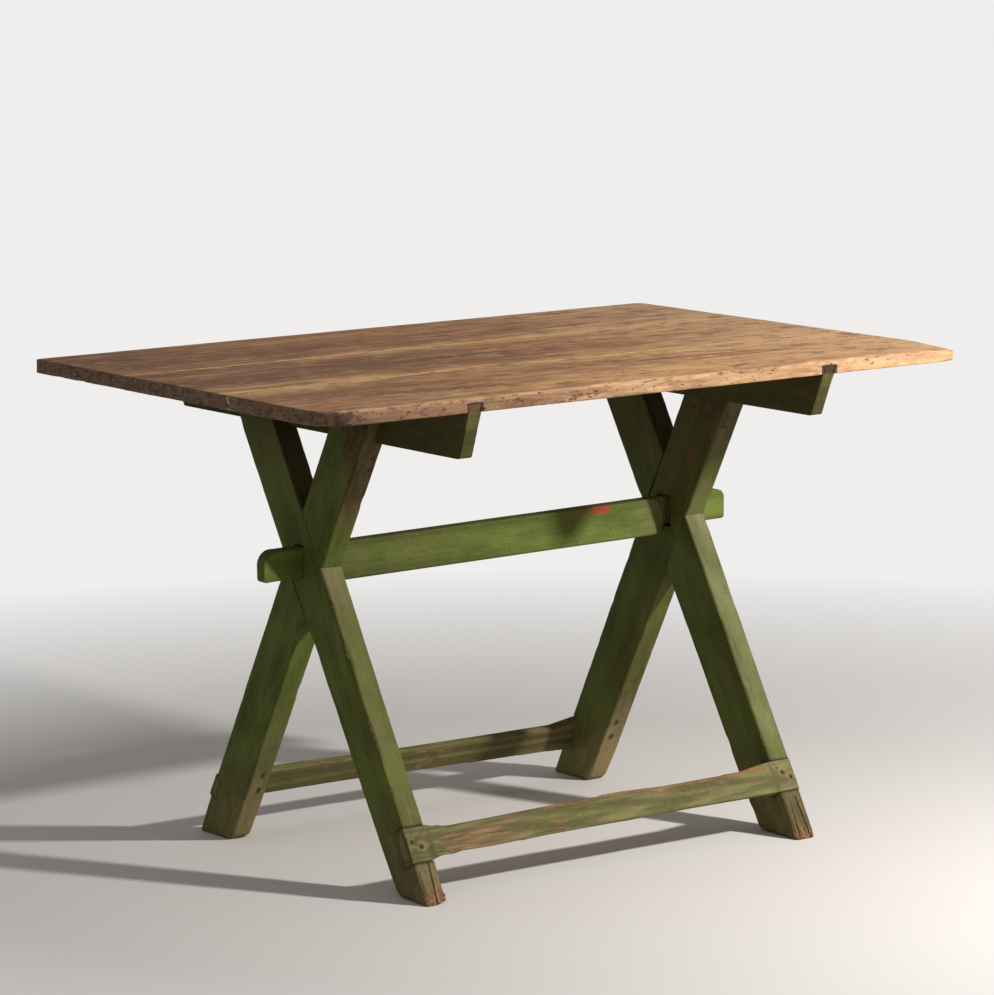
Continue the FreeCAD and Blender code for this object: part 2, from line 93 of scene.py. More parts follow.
def lattice_noise(points, size, seed):
    """Smooth noise from -1 to 1. Each corner of a lattice cell has its own random number, and a point
    takes the eight numbers around it, blended by its smoothed place in the cell."""
    scaled = points / np.asarray(size, float)
    cell = np.floor(scaled).astype(np.int64)
    part = scaled - cell
    part = part * part * (3 - 2 * part)
    total = np.zeros(len(points))
    for corner in itertools.product((0, 1), repeat=3):
        at = cell + np.array(corner)
        key = at[:, 0] * 73856093 ^ at[:, 1] * 19349663 ^ at[:, 2] * 83492791 ^ seed * 40503
        key = (key ^ (key >> 13)) & 0xFFFFFF
        key = (key * 1274126177) & 0xFFFFFFFF
        key = key ^ (key >> 15)
        number = (key & 0xFFFF) / 65535.0
        share = np.prod(np.where(np.array(corner) == 1, part, 1 - part), axis=1)
        total += share * number
    return total * 2 - 1


def layered_noise(points, size, seed, layers=3):
    """Noise of several sizes added up, each half as large and half as strong as the one before."""
    size = np.asarray(size, float)
    total = np.zeros(len(points))
    for layer in range(layers):
        total += lattice_noise(points, size / 2**layer, seed + layer) / 2**layer
    return total / (2 - 2 ** (1 - layers))


def ramp(low, high, value):
    """0 below low, 1 above high and a smooth rise between them. With low above high it falls."""
    part = np.clip((value - low) / (high - low), 0, 1)
    return part * part * (3 - 2 * part)


def bell(away, width):
    """1 where away is 0, about a third at the width on both sides and nothing far off."""
    return np.exp(-((away / width) ** 2))


def fading(depth, width):
    """1 at no depth, about a third at the width and nothing far in."""
    return np.exp(-depth / width)


def distance(points, centre, size=1):
    """How far each point is from a centre, in sizes along each axis. A centre of two numbers leaves the
    height out."""
    return np.linalg.norm((points[:, : len(centre)] - centre) / size, axis=1)


def spots(places, rows):
    """The sum of oval spots in a plane. A row gives a spot's two places, its two widths and its strength."""
    first, second = places
    return sum(
        strength * bell(first - at_first, wide_first) * bell(second - at_second, wide_second)
        for at_first, at_second, wide_first, wide_second, strength in rows
    )


def round_spot(points, spot):
    """A round spot, from its middle and its width."""
    middle, width = spot
    return bell(distance(points, middle), width)


def box_of(node):
    """The low and the high corner of a node's box, as arrays."""
    low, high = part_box(node)
    return np.array(low), np.array(high)


def merged_copy(node):
    """A copy of a node's mesh with its loose triangles joined and its flat faces made whole."""
    shape = bmesh.new()
    shape.from_mesh(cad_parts[node].data)
    bmesh.ops.remove_doubles(shape, verts=shape.verts, dist=1e-5)
    bmesh.ops.dissolve_limit(shape, angle_limit=radians(0.6), verts=shape.verts, edges=shape.edges)
    return shape


def arrays_of(shape):
    """The places of a shape's vertices and the two ends of each of its edges, as arrays."""
    mesh = bpy.data.meshes.new("work")
    shape.to_mesh(mesh)
    points = np.empty(3 * len(mesh.vertices), np.float32)
    mesh.vertices.foreach_get("co", points)
    ends = np.empty(2 * len(mesh.edges), np.int32)
    mesh.edges.foreach_get("vertices", ends)
    bpy.data.meshes.remove(mesh)
    return points.reshape(-1, 3).astype(float), ends.reshape(-1, 2)


def moved_shape(shape, points):
    """The shape with its vertices at new places."""
    mesh = bpy.data.meshes.new("work")
    shape.to_mesh(mesh)
    mesh.vertices.foreach_set("co", points.ravel())
    shape.clear()
    shape.from_mesh(mesh)
    bpy.data.meshes.remove(mesh)


def slice_across(shape, axis, places, faces=None):
    """Cuts a shape, or only some of its faces, at each place along an axis. The middle cut comes first,
    and each half is then cut alone, so that every face is met only by the cuts near it."""

    def halve(faces, places):
        if not len(places) or not faces:
            return
        middle = len(places) // 2
        place = places[middle]
        verts = {v for f in faces for v in f.verts}
        edges = {e for f in faces for e in f.edges}
        centre = [0, 0, 0]
        centre[axis] = place
        normal = [0, 0, 0]
        normal[axis] = 1
        cut = bmesh.ops.bisect_plane(
            shape,
            geom=list(verts) + list(edges) + list(faces),
            dist=1e-6,
            plane_co=centre,
            plane_no=normal,
        )
        now = [g for g in cut["geom"] if isinstance(g, bmesh.types.BMFace)]
        low = [f for f in now if f.calc_center_median()[axis] < place]
        high = [f for f in now if f.calc_center_median()[axis] >= place]
        halve(low, places[:middle])
        halve(high, places[middle + 1 :])

    halve(list(shape.faces) if faces is None else faces, list(places))


ARRIS_STEPS = np.array([0.8, 1.8, 3.0, 4.8, 7.5, 11.0]) * MM


def places_between(low, high, step, fine_high=True):
    """Cut places from low to high: close together beside each end that is an arris, as the low one
    always is, and a step apart elsewhere."""
    inner_low = low + ARRIS_STEPS[-1]
    inner_high = high - (ARRIS_STEPS[-1] if fine_high else 0)
    count = max(1, int(round((inner_high - inner_low) / step)))
    places = list(np.linspace(inner_low, inner_high, count + 1)) + list(low + ARRIS_STEPS[:-1])
    if fine_high:
        places += list(high - ARRIS_STEPS[:-1])
    return sorted(p for p in places if low < p < high)


def rounded(depths, radius):
    """The depth of each point below two or three faces, after their shared arris is rounded. Points
    outside the ball of the radius come onto it, and the others stay."""
    inside = np.maximum(radius[:, None] - depths, 0)
    far = np.maximum(np.linalg.norm(inside, axis=1), TINY)
    share = np.where((far > radius) & (radius > 1e-6), radius / far, 1.0)
    return np.where(inside > 0, radius[:, None] - inside * share[:, None], depths)


def linked_object(name, mesh, material, smooth):
    """An object of a mesh in one material, smooth except at edges sharper than an angle in degrees."""
    mesh.materials.clear()
    mesh.materials.append(material)
    mesh.polygons.foreach_set("material_index", np.zeros(len(mesh.polygons), int))
    mesh.polygons.foreach_set("use_smooth", np.ones(len(mesh.polygons), bool))
    mesh.set_sharp_from_angle(angle=radians(smooth))
    mesh.update()
    made = bpy.data.objects.new(name, mesh)
    bpy.context.scene.collection.objects.link(made)
    return made


def add_mark(mesh, name, values):
    """Keeps a number or a vector of each vertex as a mesh attribute for the materials."""
    kind, field = ("FLOAT_VECTOR", "vector") if values.ndim == 2 else ("FLOAT", "value")
    layer = mesh.attributes.new(name, kind, "POINT")
    layer.data.foreach_set(field, values.ravel())


def add_piece(node, shape, points, slot, material, **marks):
    """A new wooden piece from a shape and its points, standing for a node, with its marks."""
    mesh = bpy.data.meshes.new(node + "_wood")
    shape.to_mesh(mesh)
    shape.free()
    mesh.vertices.foreach_set("co", points.ravel())
    for name, values in marks.items():
        add_mark(mesh, name, np.asarray(values, float))
    piece = linked_object(node + "_wood", mesh, material, 35)
    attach(piece, "root")
    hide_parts(node)


# ------------------------------------------------------------------ materials

MIX_SHARE, MIX_FIRST, MIX_SECOND, MIX_RESULT = 0, 6, 7, 2


def linear(red, green, blue):
    """The shader's colour for a screen colour with parts from 0 to 255."""
    parts = np.array([red, green, blue]) / 255.0
    parts = np.where(parts <= 0.04045, parts / 12.92, ((parts + 0.055) / 1.055) ** 2.4)
    return tuple(float(p) for p in parts)


class Amount:
    """What comes out of a node. Sums and products of amounts make the nodes that work them out."""

    def __init__(self, nodes, socket):
        self.nodes = nodes
        self.socket = socket

    def maths(self, operation, other, clamp=False):
        """The Math node of that operation on this amount and the other."""
        settings = {"operation": operation, "use_clamp": clamp}
        return self.nodes.add("Math", settings, 0, {0: self, 1: other})

    def __add__(self, other):
        return self.maths("ADD", other)

    __radd__ = __add__

    def __sub__(self, other):
        return self.maths("SUBTRACT", other)

    def __rsub__(self, other):
        return self.maths("MULTIPLY", -1.0).maths("ADD", other)

    def __mul__(self, other):
        return self.maths("MULTIPLY", other)

    __rmul__ = __mul__

    def above(self, edge, soft):
        """0 where this amount is below the edge, 1 where it is above it by soft, and a slope between."""
        return self.maths("SUBTRACT", edge).maths("DIVIDE", soft, clamp=True)

    def least(self, other):
        """The smaller of the two."""
        return self.maths("MINIMUM", other)


class Nodes:
    """The nodes of a material or of the world. Colours are screen colours with parts from 0 to 255."""

    def __init__(self, tree):
        self.tree = tree

    def put(self, socket, value):
        """Gives a socket its link, its colour or its number."""
        if isinstance(value, Amount):
            self.tree.links.new(value.socket, socket)
        elif socket.type == "RGBA":
            socket.default_value = (*linear(*value), 1)
        else:
            socket.default_value = value

    def add(self, kind, settings=None, output=0, inputs=None, **values):
        """A node of that kind, with its settings and with a value or a link for each input, by its number
        or by its name."""
        node = self.tree.nodes.new("ShaderNode" + kind)
        for name, value in (settings or {}).items():
            setattr(node, name, value)
        for place, value in {**(inputs or {}), **values}.items():
            self.put(node.inputs[place], value)
        return Amount(self, node.outputs[output])

    def end(self, name, shader):
        """Links the last shader to the tree's output."""
        self.put(self.tree.nodes[name].inputs["Surface"], shader)

    def mark(self, name, output="Fac"):
        """A mesh attribute of the piece."""
        return self.add("Attribute", {"attribute_name": name}, output)

    def marks(self, *names):
        """Several mesh attributes of the piece."""
        return [self.mark(name) for name in names]

    def noise(self, vector, scale, detail, rough, warp=0.0, shift=(0, 0, 0)):
        """A noise from 0 to 1. Its vector is first scaled in each direction and then shifted."""
        placed = self.add("Mapping", Vector=vector, Scale=scale, Location=shift)
        return self.add(
            "TexNoise", Vector=placed, Scale=1.0, Detail=detail, Roughness=rough, Distortion=warp
        )

    def mix(self, first, second, share):
        """The first colour, turning to the second as the share goes from 0 to 1."""
        inputs = {MIX_SHARE: share, MIX_FIRST: first, MIX_SECOND: second}
        return self.add("Mix", {"data_type": "RGBA"}, MIX_RESULT, inputs)

    def layered(self, colour, *layers):
        """A colour with other colours over it in turn, each by its own share."""
        for over, share in layers:
            colour = self.mix(colour, over, share)
        return colour

    def bump(self, height, distance, strength):
        """A normal from a height between 0 and 1."""
        return self.add("Bump", Height=height, Distance=distance, Strength=strength)


class Finish(Nodes):
    """One procedural material."""

    def __init__(self, name, specular=0.5):
        self.material = bpy.data.materials.new(name)
        self.material.use_nodes = True
        super().__init__(self.material.node_tree)
        self.shader = self.tree.nodes["Principled BSDF"]
        self.shader.inputs["Specular IOR Level"].default_value = specular

    def close(self, colour, roughness, normal=None):
        """Gives the shader its last results."""
        self.put(self.shader.inputs["Base Color"], colour)
        self.put(self.shader.inputs["Roughness"], roughness)
        if normal is not None:
            self.put(self.shader.inputs["Normal"], normal)
        return self.material


PAINT_COLOURS = SimpleNamespace(
    moss=(66, 77, 23),
    leaf=(98, 107, 45),
    # A brighter green. On the rail it is partly painted light, rising toward the right end.
    fresh_and_lit=(112, 122, 58),
    # Soiled browns. They are real soil, and also painted shade under the top, on the battens and on the near
    # front leg.
    grime_and_shade=(60, 50, 25),
    pale_grime_and_shade=(102, 90, 52),
    dust=(138, 122, 86),
    # A paler, dusty green. It is faded paint on the legs, and painted light on the rail's right end, where
    # the leg's shadow falls.
    faded_and_lit=(128, 122, 86),
    streak=(40, 42, 14),
    rubbed=(60, 48, 28),
    dark_wood=(92, 73, 48),
    pale_wood=(144, 115, 84),
    red_wood=(126, 88, 66),
    wood_line=(80, 60, 38),
    dark_break=(84, 44, 36),
    pale_break=(158, 116, 82),
    red=(156, 60, 42),
    speck=(30, 26, 14),
    nick=(150, 126, 88),
    chalk=(158, 150, 108),
    # Near-black. It is used mostly as painted shade on inner faces, under the top, in the splits and in
    # recesses, and also for dark joint lines and dovetail ends.
    shade_and_crack=(20, 13, 5),
)


def green_paint():
    """Old green paint: clouded and streaked along the grain, dirty and worn through where the marks of the
    piece say so. Some marks also hold painted shade and painted light: the soiled brown and the
    near-black stand partly for shade under the top, on the inner faces, in the splits and on the near
    front leg, and the paler greens stand partly for light on the rail's right end."""
    f = Finish("green_paint", specular=0.13)
    c = PAINT_COLOURS
    grain = f.mark("grain", "Vector")
    wear, dirt, bare, pale, red = f.marks("wear", "dirt", "bare", "pale", "red")
    fresh_and_lit, dark, dust, raw = f.marks("fresh_and_lit", "dark", "dust", "raw")
    streaks = f.noise(grain, (260, 260, 14), 6.0, 0.62)
    lines = f.noise(grain, (800, 800, 30), 3.0, 0.6)
    clouds = f.noise(grain, (22, 22, 8), 5.0, 0.6)
    patches = f.noise(grain, (80, 80, 30), 8.0, 0.72, 0.3, shift=(3, 1, 7))
    slivers = f.noise(grain, (190, 190, 14), 6.0, 0.68, shift=(1, 6, 2))
    specks = f.noise(grain, (420, 420, 260), 2.0, 0.5, shift=(5, 2, 3))
    uneven = patches - 0.5
    grime_and_shade = f.layered(
        f.mix(c.grime_and_shade, c.pale_grime_and_shade, patches.above(0.36, 0.26)),
        (c.dust, dust * (patches * 0.5 + 0.4)),
    )
    wood = f.layered(
        f.mix(c.dark_wood, c.pale_wood, slivers.above(0.40, 0.24)),
        (c.red_wood, clouds.above(0.44, 0.16) * 0.7),
        (c.wood_line, streaks.above(0.52, 0.14) * 0.5),
    )
    through = (bare + wear * 0.22 + uneven + (slivers - 0.5) * 1.2).above(0.42, 0.24) * 0.9
    broken = f.mix(c.dark_break, c.pale_break, (specks * 0.5 + slivers * 0.5).above(0.46, 0.12))
    nicks = (wear * 0.2 + (1.0 - specks) * 0.5 + patches * 0.5 - dust * 0.2).above(0.75, 0.05)
    colour = f.layered(
        f.mix(c.moss, c.leaf, clouds.above(0.33, 0.32)),
        # Painted light on the rail: a brighter green that rises toward its right end.
        (c.fresh_and_lit, fresh_and_lit * (clouds * 0.6 + 0.55)),
        # Soiled brown: real soil, and partly painted shade.
        (grime_and_shade, (dirt + uneven * 1.3).above(0.2, 0.6)),
        # Paler green: faded paint, and painted light on the rail's shadowed right end.
        (c.faded_and_lit, pale * clouds.above(0.2, 0.4)),
        (c.streak, streaks.above(0.50, 0.26) * 0.32),
        (c.rubbed, (wear + uneven * 1.2).above(0.35, 0.6) * 0.6),
        (wood, through),
        (broken, (raw + uneven * 1.6).above(0.5, 0.35) * 0.75),
        (c.red, (red + uneven * 0.8).above(0.35, 0.45) * 0.85),
        (c.speck, specks.above(0.71, 0.05) * 0.6),
        (c.nick, nicks * 0.6),
        (c.chalk, (1.0 - specks).above(0.72, 0.04) * 0.35),
        # Near-black: painted shade in splits, recesses, on the inner faces and under the top, with dark
        # joint lines and dovetail ends.
        (c.shade_and_crack, dark * 0.85),
    )
    height = streaks * 0.4 + lines * 0.15 + patches * 0.6 - through * 0.4
    height = height - specks.above(0.68, 0.05) * 0.5
    return f.close(colour, 0.6 + through * 0.2 + dirt * 0.1, f.bump(height, 0.0016, 0.9))


TOP_COLOURS = SimpleNamespace(
    dark_base=(104, 67, 40),
    pale_base=(176, 126, 80),
    warm=(152, 94, 60),
    straw=(188, 148, 104),
    shade=(92, 56, 33),
    band=(216, 172, 114),
    blot=(108, 70, 48),
    bloom=(206, 166, 122),
    umber=(104, 66, 36),
    grey=(188, 154, 124),
    clay=(124, 88, 66),
    line=(84, 54, 36),
    pit=(66, 42, 28),
    fleck=(206, 168, 126),
    knot=(48, 30, 20),
    dark_gold=(150, 110, 74),
    pale_gold=(196, 156, 112),
    dark_edge=(82, 52, 36),
    pale_edge=(152, 108, 74),
    rust=(74, 40, 30),
    rubbed=(112, 68, 44),
    cream=(222, 184, 136),
    stain=(66, 38, 26),
    dark_sawn=(76, 57, 42),
    pale_sawn=(142, 114, 89),
    end_rust=(152, 88, 66),
    scar=(222, 192, 150),
    olive=(116, 108, 44),
    gap=(22, 14, 9),
)


def top_wood():
    """Worn and stained boards: long pale and dark bands with blotches and fine streaks, dark sawn ends
    with rust and scars, a golden worn front edge with pits, and dark gaps around the dovetails. Painted
    light and shade are in it too: the boards turn paler toward the right for the stronger light there,
    the golden and cream front edge is also a painted highlight on its rounded arris, and the dark gaps
    are painted shade."""
    f = Finish("top_wood", specular=0.3)
    c = TOP_COLOURS
    grain = f.mark("grain", "Vector")
    wear, end, front, light, dark = f.marks("wear", "end", "front", "light", "dark")
    olive, gold, gap, rust, scar = f.marks("olive", "gold", "gap", "rust", "scar")
    broad = f.noise(grain, (20, 20, 2.2), 4.0, 0.6, 0.4, shift=(1, 0, 2))
    smudges = f.noise(grain, (85, 85, 10), 8.0, 0.7, 0.5, shift=(2, 0, 4))
    strokes = f.noise(grain, (60, 60, 5.5), 6.0, 0.66, 0.5, shift=(5, 0, 9))
    blotches = f.noise(grain, (34, 34, 19), 7.0, 0.72, 0.4, shift=(7, 0, 3))
    streaks = f.noise(grain, (260, 260, 22), 6.0, 0.7, 0.3)
    lines = f.noise(grain, (1000, 1000, 16), 4.0, 0.6)
    saw = f.noise(grain, (60, 260, 60), 5.0, 0.65)
    pits = f.noise(grain, (170, 170, 75), 5.0, 0.68, shift=(4, 0, 1))
    smudged = smudges - 0.5
    pitted = pits - 0.5
    tone = broad * 0.6 + smudges * 0.6 + streaks * 0.4 + light * 0.12 - dark * 0.12
    bands = light * 0.56 + smudged * 1.2 + (streaks - 0.5) * 0.6
    blots = blotches * 0.6 + strokes * 0.25 + smudges * 0.15
    rubbed = pits * 0.45 + strokes * 0.35 + streaks * 0.2
    by_edge = (front + wear * 0.8).least(1.0)
    stains = (pits + smudges * 0.4 - gold * 0.05 + scar * 0.1 + rust * 0.06).above(0.765, 0.07)
    golden = f.mix(c.dark_gold, c.pale_gold, (smudges * 0.6 + broad * 0.4).above(0.40, 0.18))
    edge = f.layered(
        f.mix(c.dark_edge, c.pale_edge, (pits * 0.5 + smudges * 0.5).above(0.42, 0.2)),
        (golden, (gold + smudged * 1.6 + pitted).above(0.45, 0.6)),
        (c.rust, (rust + pitted * 2.0).above(0.5, 0.25) * 0.9),
    )
    sawn = f.layered(
        f.mix(c.dark_sawn, c.pale_sawn, (smudges * 0.6 + saw * 0.4).above(0.40, 0.2)),
        (c.end_rust, (rust + smudged).above(0.3, 0.5) * 0.8),
        (c.scar, (scar + pitted * 1.6).above(0.55, 0.25) * 0.8),
    )
    colour = f.layered(
        f.mix(c.dark_base, c.pale_base, tone.above(0.69, 0.2)),
        (c.warm, strokes.above(0.49, 0.18) * 0.55),
        (c.straw, (1.0 - strokes).above(0.51, 0.18) * 0.5),
        (c.shade, (dark + smudged * 1.6 + (broad - 0.5)).above(0.25, 0.7) * 0.65),
        (c.band, bands.above(0.1, 0.45) * 0.8),
        (c.blot, blots.above(0.515, 0.08) * (0.6 + light * 0.35)),
        (c.bloom, (1.0 - blots).above(0.52, 0.08) * 0.5),
        (c.umber, (0.4 - light).least(1.0) * 0.2),
        (c.grey, gold.above(1.0, 0.8) * 0.4),
        (c.clay, blotches.above(0.5, 0.1) * gold.above(0.9, 0.6) * 0.55),
        (c.line, lines.above(0.56, 0.14) * 0.25),
        (c.pit, (streaks * 0.5 + pits * 0.5).above(0.575, 0.05) * (0.35 + light * 0.35)),
        (c.fleck, (1.0 - pits).above(0.60, 0.08) * 0.3),
        (c.knot, dark.above(0.95, 0.3) * 0.9),
        # Worn golden wood along the front. It is also a painted highlight on the rounded front arris.
        (golden, (wear + smudged * 1.4).above(0.30, 0.5) * 0.85),
        (edge, front * (1.0 - wear * 0.9)),
        (c.rubbed, rubbed.above(0.525, 0.06) * by_edge * 0.5),
        # Cream patches on the edges: pale wear, and partly a painted highlight along the arris.
        (c.cream, (1.0 - rubbed).above(0.525, 0.06) * by_edge * (0.12 + gold * 0.2)),
        (c.stain, (front + wear * 0.6).least(1.0) * stains * 0.8),
        (sawn, end * (1.0 - wear * 0.5)),
        (c.olive, (olive + smudged * 2.0).above(0.4, 0.6) * 0.8),
        # Painted shade: near-black in the gaps around the dovetails.
        (c.gap, (gap + pitted * 0.8).above(0.25, 0.3) * 0.92),
    )
    height = streaks * 0.5 + lines * 0.15 + smudges * 0.6 - stains * (front + end) * 0.5
    return f.close(colour, 0.5 + streaks * 0.2 + end * 0.2, f.bump(height, 0.0018, 0.9))


def iron():
    """Rusty nail iron, with paint left on the heads."""
    f = Finish("nail_iron", specular=0.1)
    place = f.add("TexCoord", output="Object")
    patches = f.noise(place, (700, 700, 700), 4.0, 0.6)
    cover = f.mix((62, 56, 30), (92, 84, 50), patches.above(0.4, 0.25))
    colour = f.layered(
        f.mix((30, 22, 16), (84, 54, 34), patches.above(0.4, 0.3)),
        (cover, (f.mark("painted") + (patches - 0.5) * 0.6).above(0.45, 0.2)),
    )
    return f.close(colour, 0.85, f.bump(patches, 0.0004, 0.6))


def dowel_wood():
    """Turned beech."""
    f = Finish("dowel_wood")
    place = f.add("TexCoord", output="Object")
    streaks = f.noise(place, (700, 30, 700), 4.0, 0.6)
    colour = f.mix((190, 150, 104), (158, 118, 76), streaks.above(0.4, 0.3))
    return f.close(colour, 0.6, f.bump(streaks, 0.0004, 0.4))


PAINT = green_paint()
TOP = top_wood()
IRON = iron()
DOWEL = dowel_wood()


# ------------------------------------------------------------------ the boards

TOP_LOW, TOP_HIGH = box_of("top_board_front")[0], box_of("top_board_back")[1]
SEAMS = (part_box("top_board_middle")[0][1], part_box("top_board_middle")[1][1])
CORNER = {(-1, -1): 55 * MM, (1, -1): 15 * MM, (-1, 1): 15 * MM, (1, 1): 15 * MM}
SQUARER_CORNERS = ((-1, 1), (1, -1))
WORN_RADIUS = 5 * MM
WORN_CORNER = np.array([TOP_HIGH[0], TOP_LOW[1]])


def plan_depth(points):
    """The depth of each point inside the rounded outline of the top, and the direction inward."""
    middle = (TOP_LOW[:2] + TOP_HIGH[:2]) / 2
    half = (TOP_HIGH[:2] - TOP_LOW[:2]) / 2
    away = points[:, :2] - middle
    side = np.where(away < 0, -1, 1)
    radius = np.zeros(len(points))
    for (x_side, y_side), corner in CORNER.items():
        radius[(side[:, 0] == x_side) & (side[:, 1] == y_side)] = corner
    over = np.abs(away) - (half - radius[:, None])
    both = (over > 0).all(axis=1)
    round_far = np.maximum(np.linalg.norm(np.maximum(over, 0), axis=1), TINY)
    depth = np.where(both, radius - round_far, radius - over.max(axis=1))
    along_x = (over[:, 0] > over[:, 1])[:, None]
    straight = np.where(along_x, np.array([[1.0, 0.0]]), np.array([[0.0, 1.0]]))
    inward = np.where(both[:, None], over / round_far[:, None], straight)
    return depth, -side * inward


def squarer_corner(points, x_side, y_side):
    """How far each point moves out so that one corner is as tight as the worn radius. A point keeps its
    direction from the round corner's centre, and its distance grows by the share by which the tighter
    outline lies further out that way."""
    radius = CORNER[(x_side, y_side)]
    sides = np.array([x_side, y_side])
    centre = np.where(sides < 0, TOP_LOW[:2], TOP_HIGH[:2]) - sides * radius
    away = (points[:, :2] - centre) * sides
    both = (away > 0).all(axis=1)
    way = away / np.maximum(np.linalg.norm(away, axis=1), TINY)[:, None]
    spare = radius - WORN_RADIUS
    straight = radius / np.maximum(way.max(axis=1), TINY)
    along = way.sum(axis=1) * spare
    arc = along + np.sqrt(np.maximum(along**2 - 2 * spare**2 + WORN_RADIUS**2, 0))
    on_arc = (way * straight[:, None] > spare).all(axis=1)
    reach = np.where(on_arc, arc, straight)
    return np.where(both[:, None], away * (reach / radius - 1)[:, None] * sides, 0)


def seam_depth(points, low, high):
    """How far each point of a board is from its nearest seam, and the y direction into the board."""
    depth = np.full(len(points), 1.0)
    toward = np.zeros(len(points))
    for at in SEAMS:
        if low[1] - MM < at < high[1] + MM:
            away = np.abs(points[:, 1] - at)
            toward = np.where(away < depth, 1 if at < (low[1] + high[1]) / 2 else -1, toward)
            depth = np.minimum(depth, away)
    return depth, toward


# Each row of bands across the top: the y of its middle, its width and its strength.
PALE_BANDS = ((-0.155, 0.024, 0.5), (0.135, 0.026, 0.5))
SEAM_LINES = ((-0.131, 0.003, 1.0), (0.133, 0.003, 0.8))
DARK_BANDS = ((-0.020, 0.075, 1.0), (0.270, 0.070, 0.9))
RED_BAND = ((0.112, 0.015, 1.0),)
BAND_SEED, SEAM_SEED = 40, 60
KNOTS = np.array([[-0.30, -0.30], [-0.02, -0.35], [0.21, -0.27], [0.44, -0.22], [0.05, 0.05]])
KNOT_SIZE = 5 * MM
KNOT_STRETCH = np.array([0.45, 1])
DARK_PATCH = ((0.44, -0.235, 0.07, 0.014, 0.8),)

# Spots on the left end by their y and z: two places, two widths and the strength.
END_RUST = ((-0.118, 0.748, 0.016, 0.006, 1.0),)
END_SCARS = ((-0.28, 0.75, 0.022, 0.006, 0.45), (-0.15, 0.7395, 0.05, 0.002, 0.7))

# The slanting scar on the left end: the y and z of a point on it, its slope and its width.
SCAR_LINE = (-0.152, 0.75, 0.3, 0.0035)

# Spots on the front edge: the middle and the width.
FRONT_RUST = ((-0.562, -0.392), 21 * MM)
FRONT_SCAR = ((-0.55, -0.39), 30 * MM)
OLIVE_SPOT = ((-0.296, -0.397, 0.754), (20 * MM, 14 * MM, 14 * MM))


def banded(y, bands):
    """The sum of soft bands that run along the top."""
    return sum(strength * bell(y - at, width) for at, width, strength in bands)


def board_tones(place, rightward):
    """How pale and how dark the boards are: bands along the grain that wander, a pale band beside the
    front seam that widens leftward, pale lines on the seams, knots and patches. The paleness also rises
    steadily toward the right: painted light, for the lamp's light, which is stronger on that side."""
    x, y, _ = place.T
    drifted = y + 18 * MM * layered_noise(place, (0.35, 1, 1), BAND_SEED)
    left_wide = 12 * MM + 55 * MM * ramp(-0.2, -0.55, x)
    strong = ramp(-0.2, 0.4, layered_noise(place, (0.12, 0.2, 1), SEAM_SEED))
    pale = banded(drifted, PALE_BANDS)
    pale += 1.5 * bell(y + 0.118, left_wide) * ramp(0.1, -0.2, x)
    pale += (1.2 + 2.4 * strong) * banded(y, SEAM_LINES)
    dark_bands = banded(drifted, DARK_BANDS) * (1.1 - 0.75 * rightward)
    # Painted light: the rightward term makes the boards paler toward the right.
    light = pale * 0.6 + rightward - 0.35 - 0.25 * dark_bands
    light += 0.35 * ramp(-0.22, -0.33, y) * ramp(0.35, 0.1, x)
    knots = np.linalg.norm((place[:, None, :2] - KNOTS[None]) * KNOT_STRETCH, axis=2).min(axis=1)
    dark = dark_bands * 0.5 - 0.1 + bell(knots, KNOT_SIZE)
    dark += 0.7 * banded(drifted, RED_BAND) * ramp(0.1, 0.4, x) + spots((x, y), DARK_PATCH)
    return light, dark


def dovetail_gap(place):
    """1 at the outline of the two battens' dovetails, falling to 0 away from it."""
    gap = 0
    for name in ("left_batten", "right_batten"):
        low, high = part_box(name)
        aside = np.maximum(low[0] - place[:, 0], place[:, 0] - high[0])
        outside = np.hypot(np.maximum(aside, 0), np.maximum(place[:, 2] - high[2], 0))
        gap = gap + bell(outside, 1.6 * MM)
    return gap


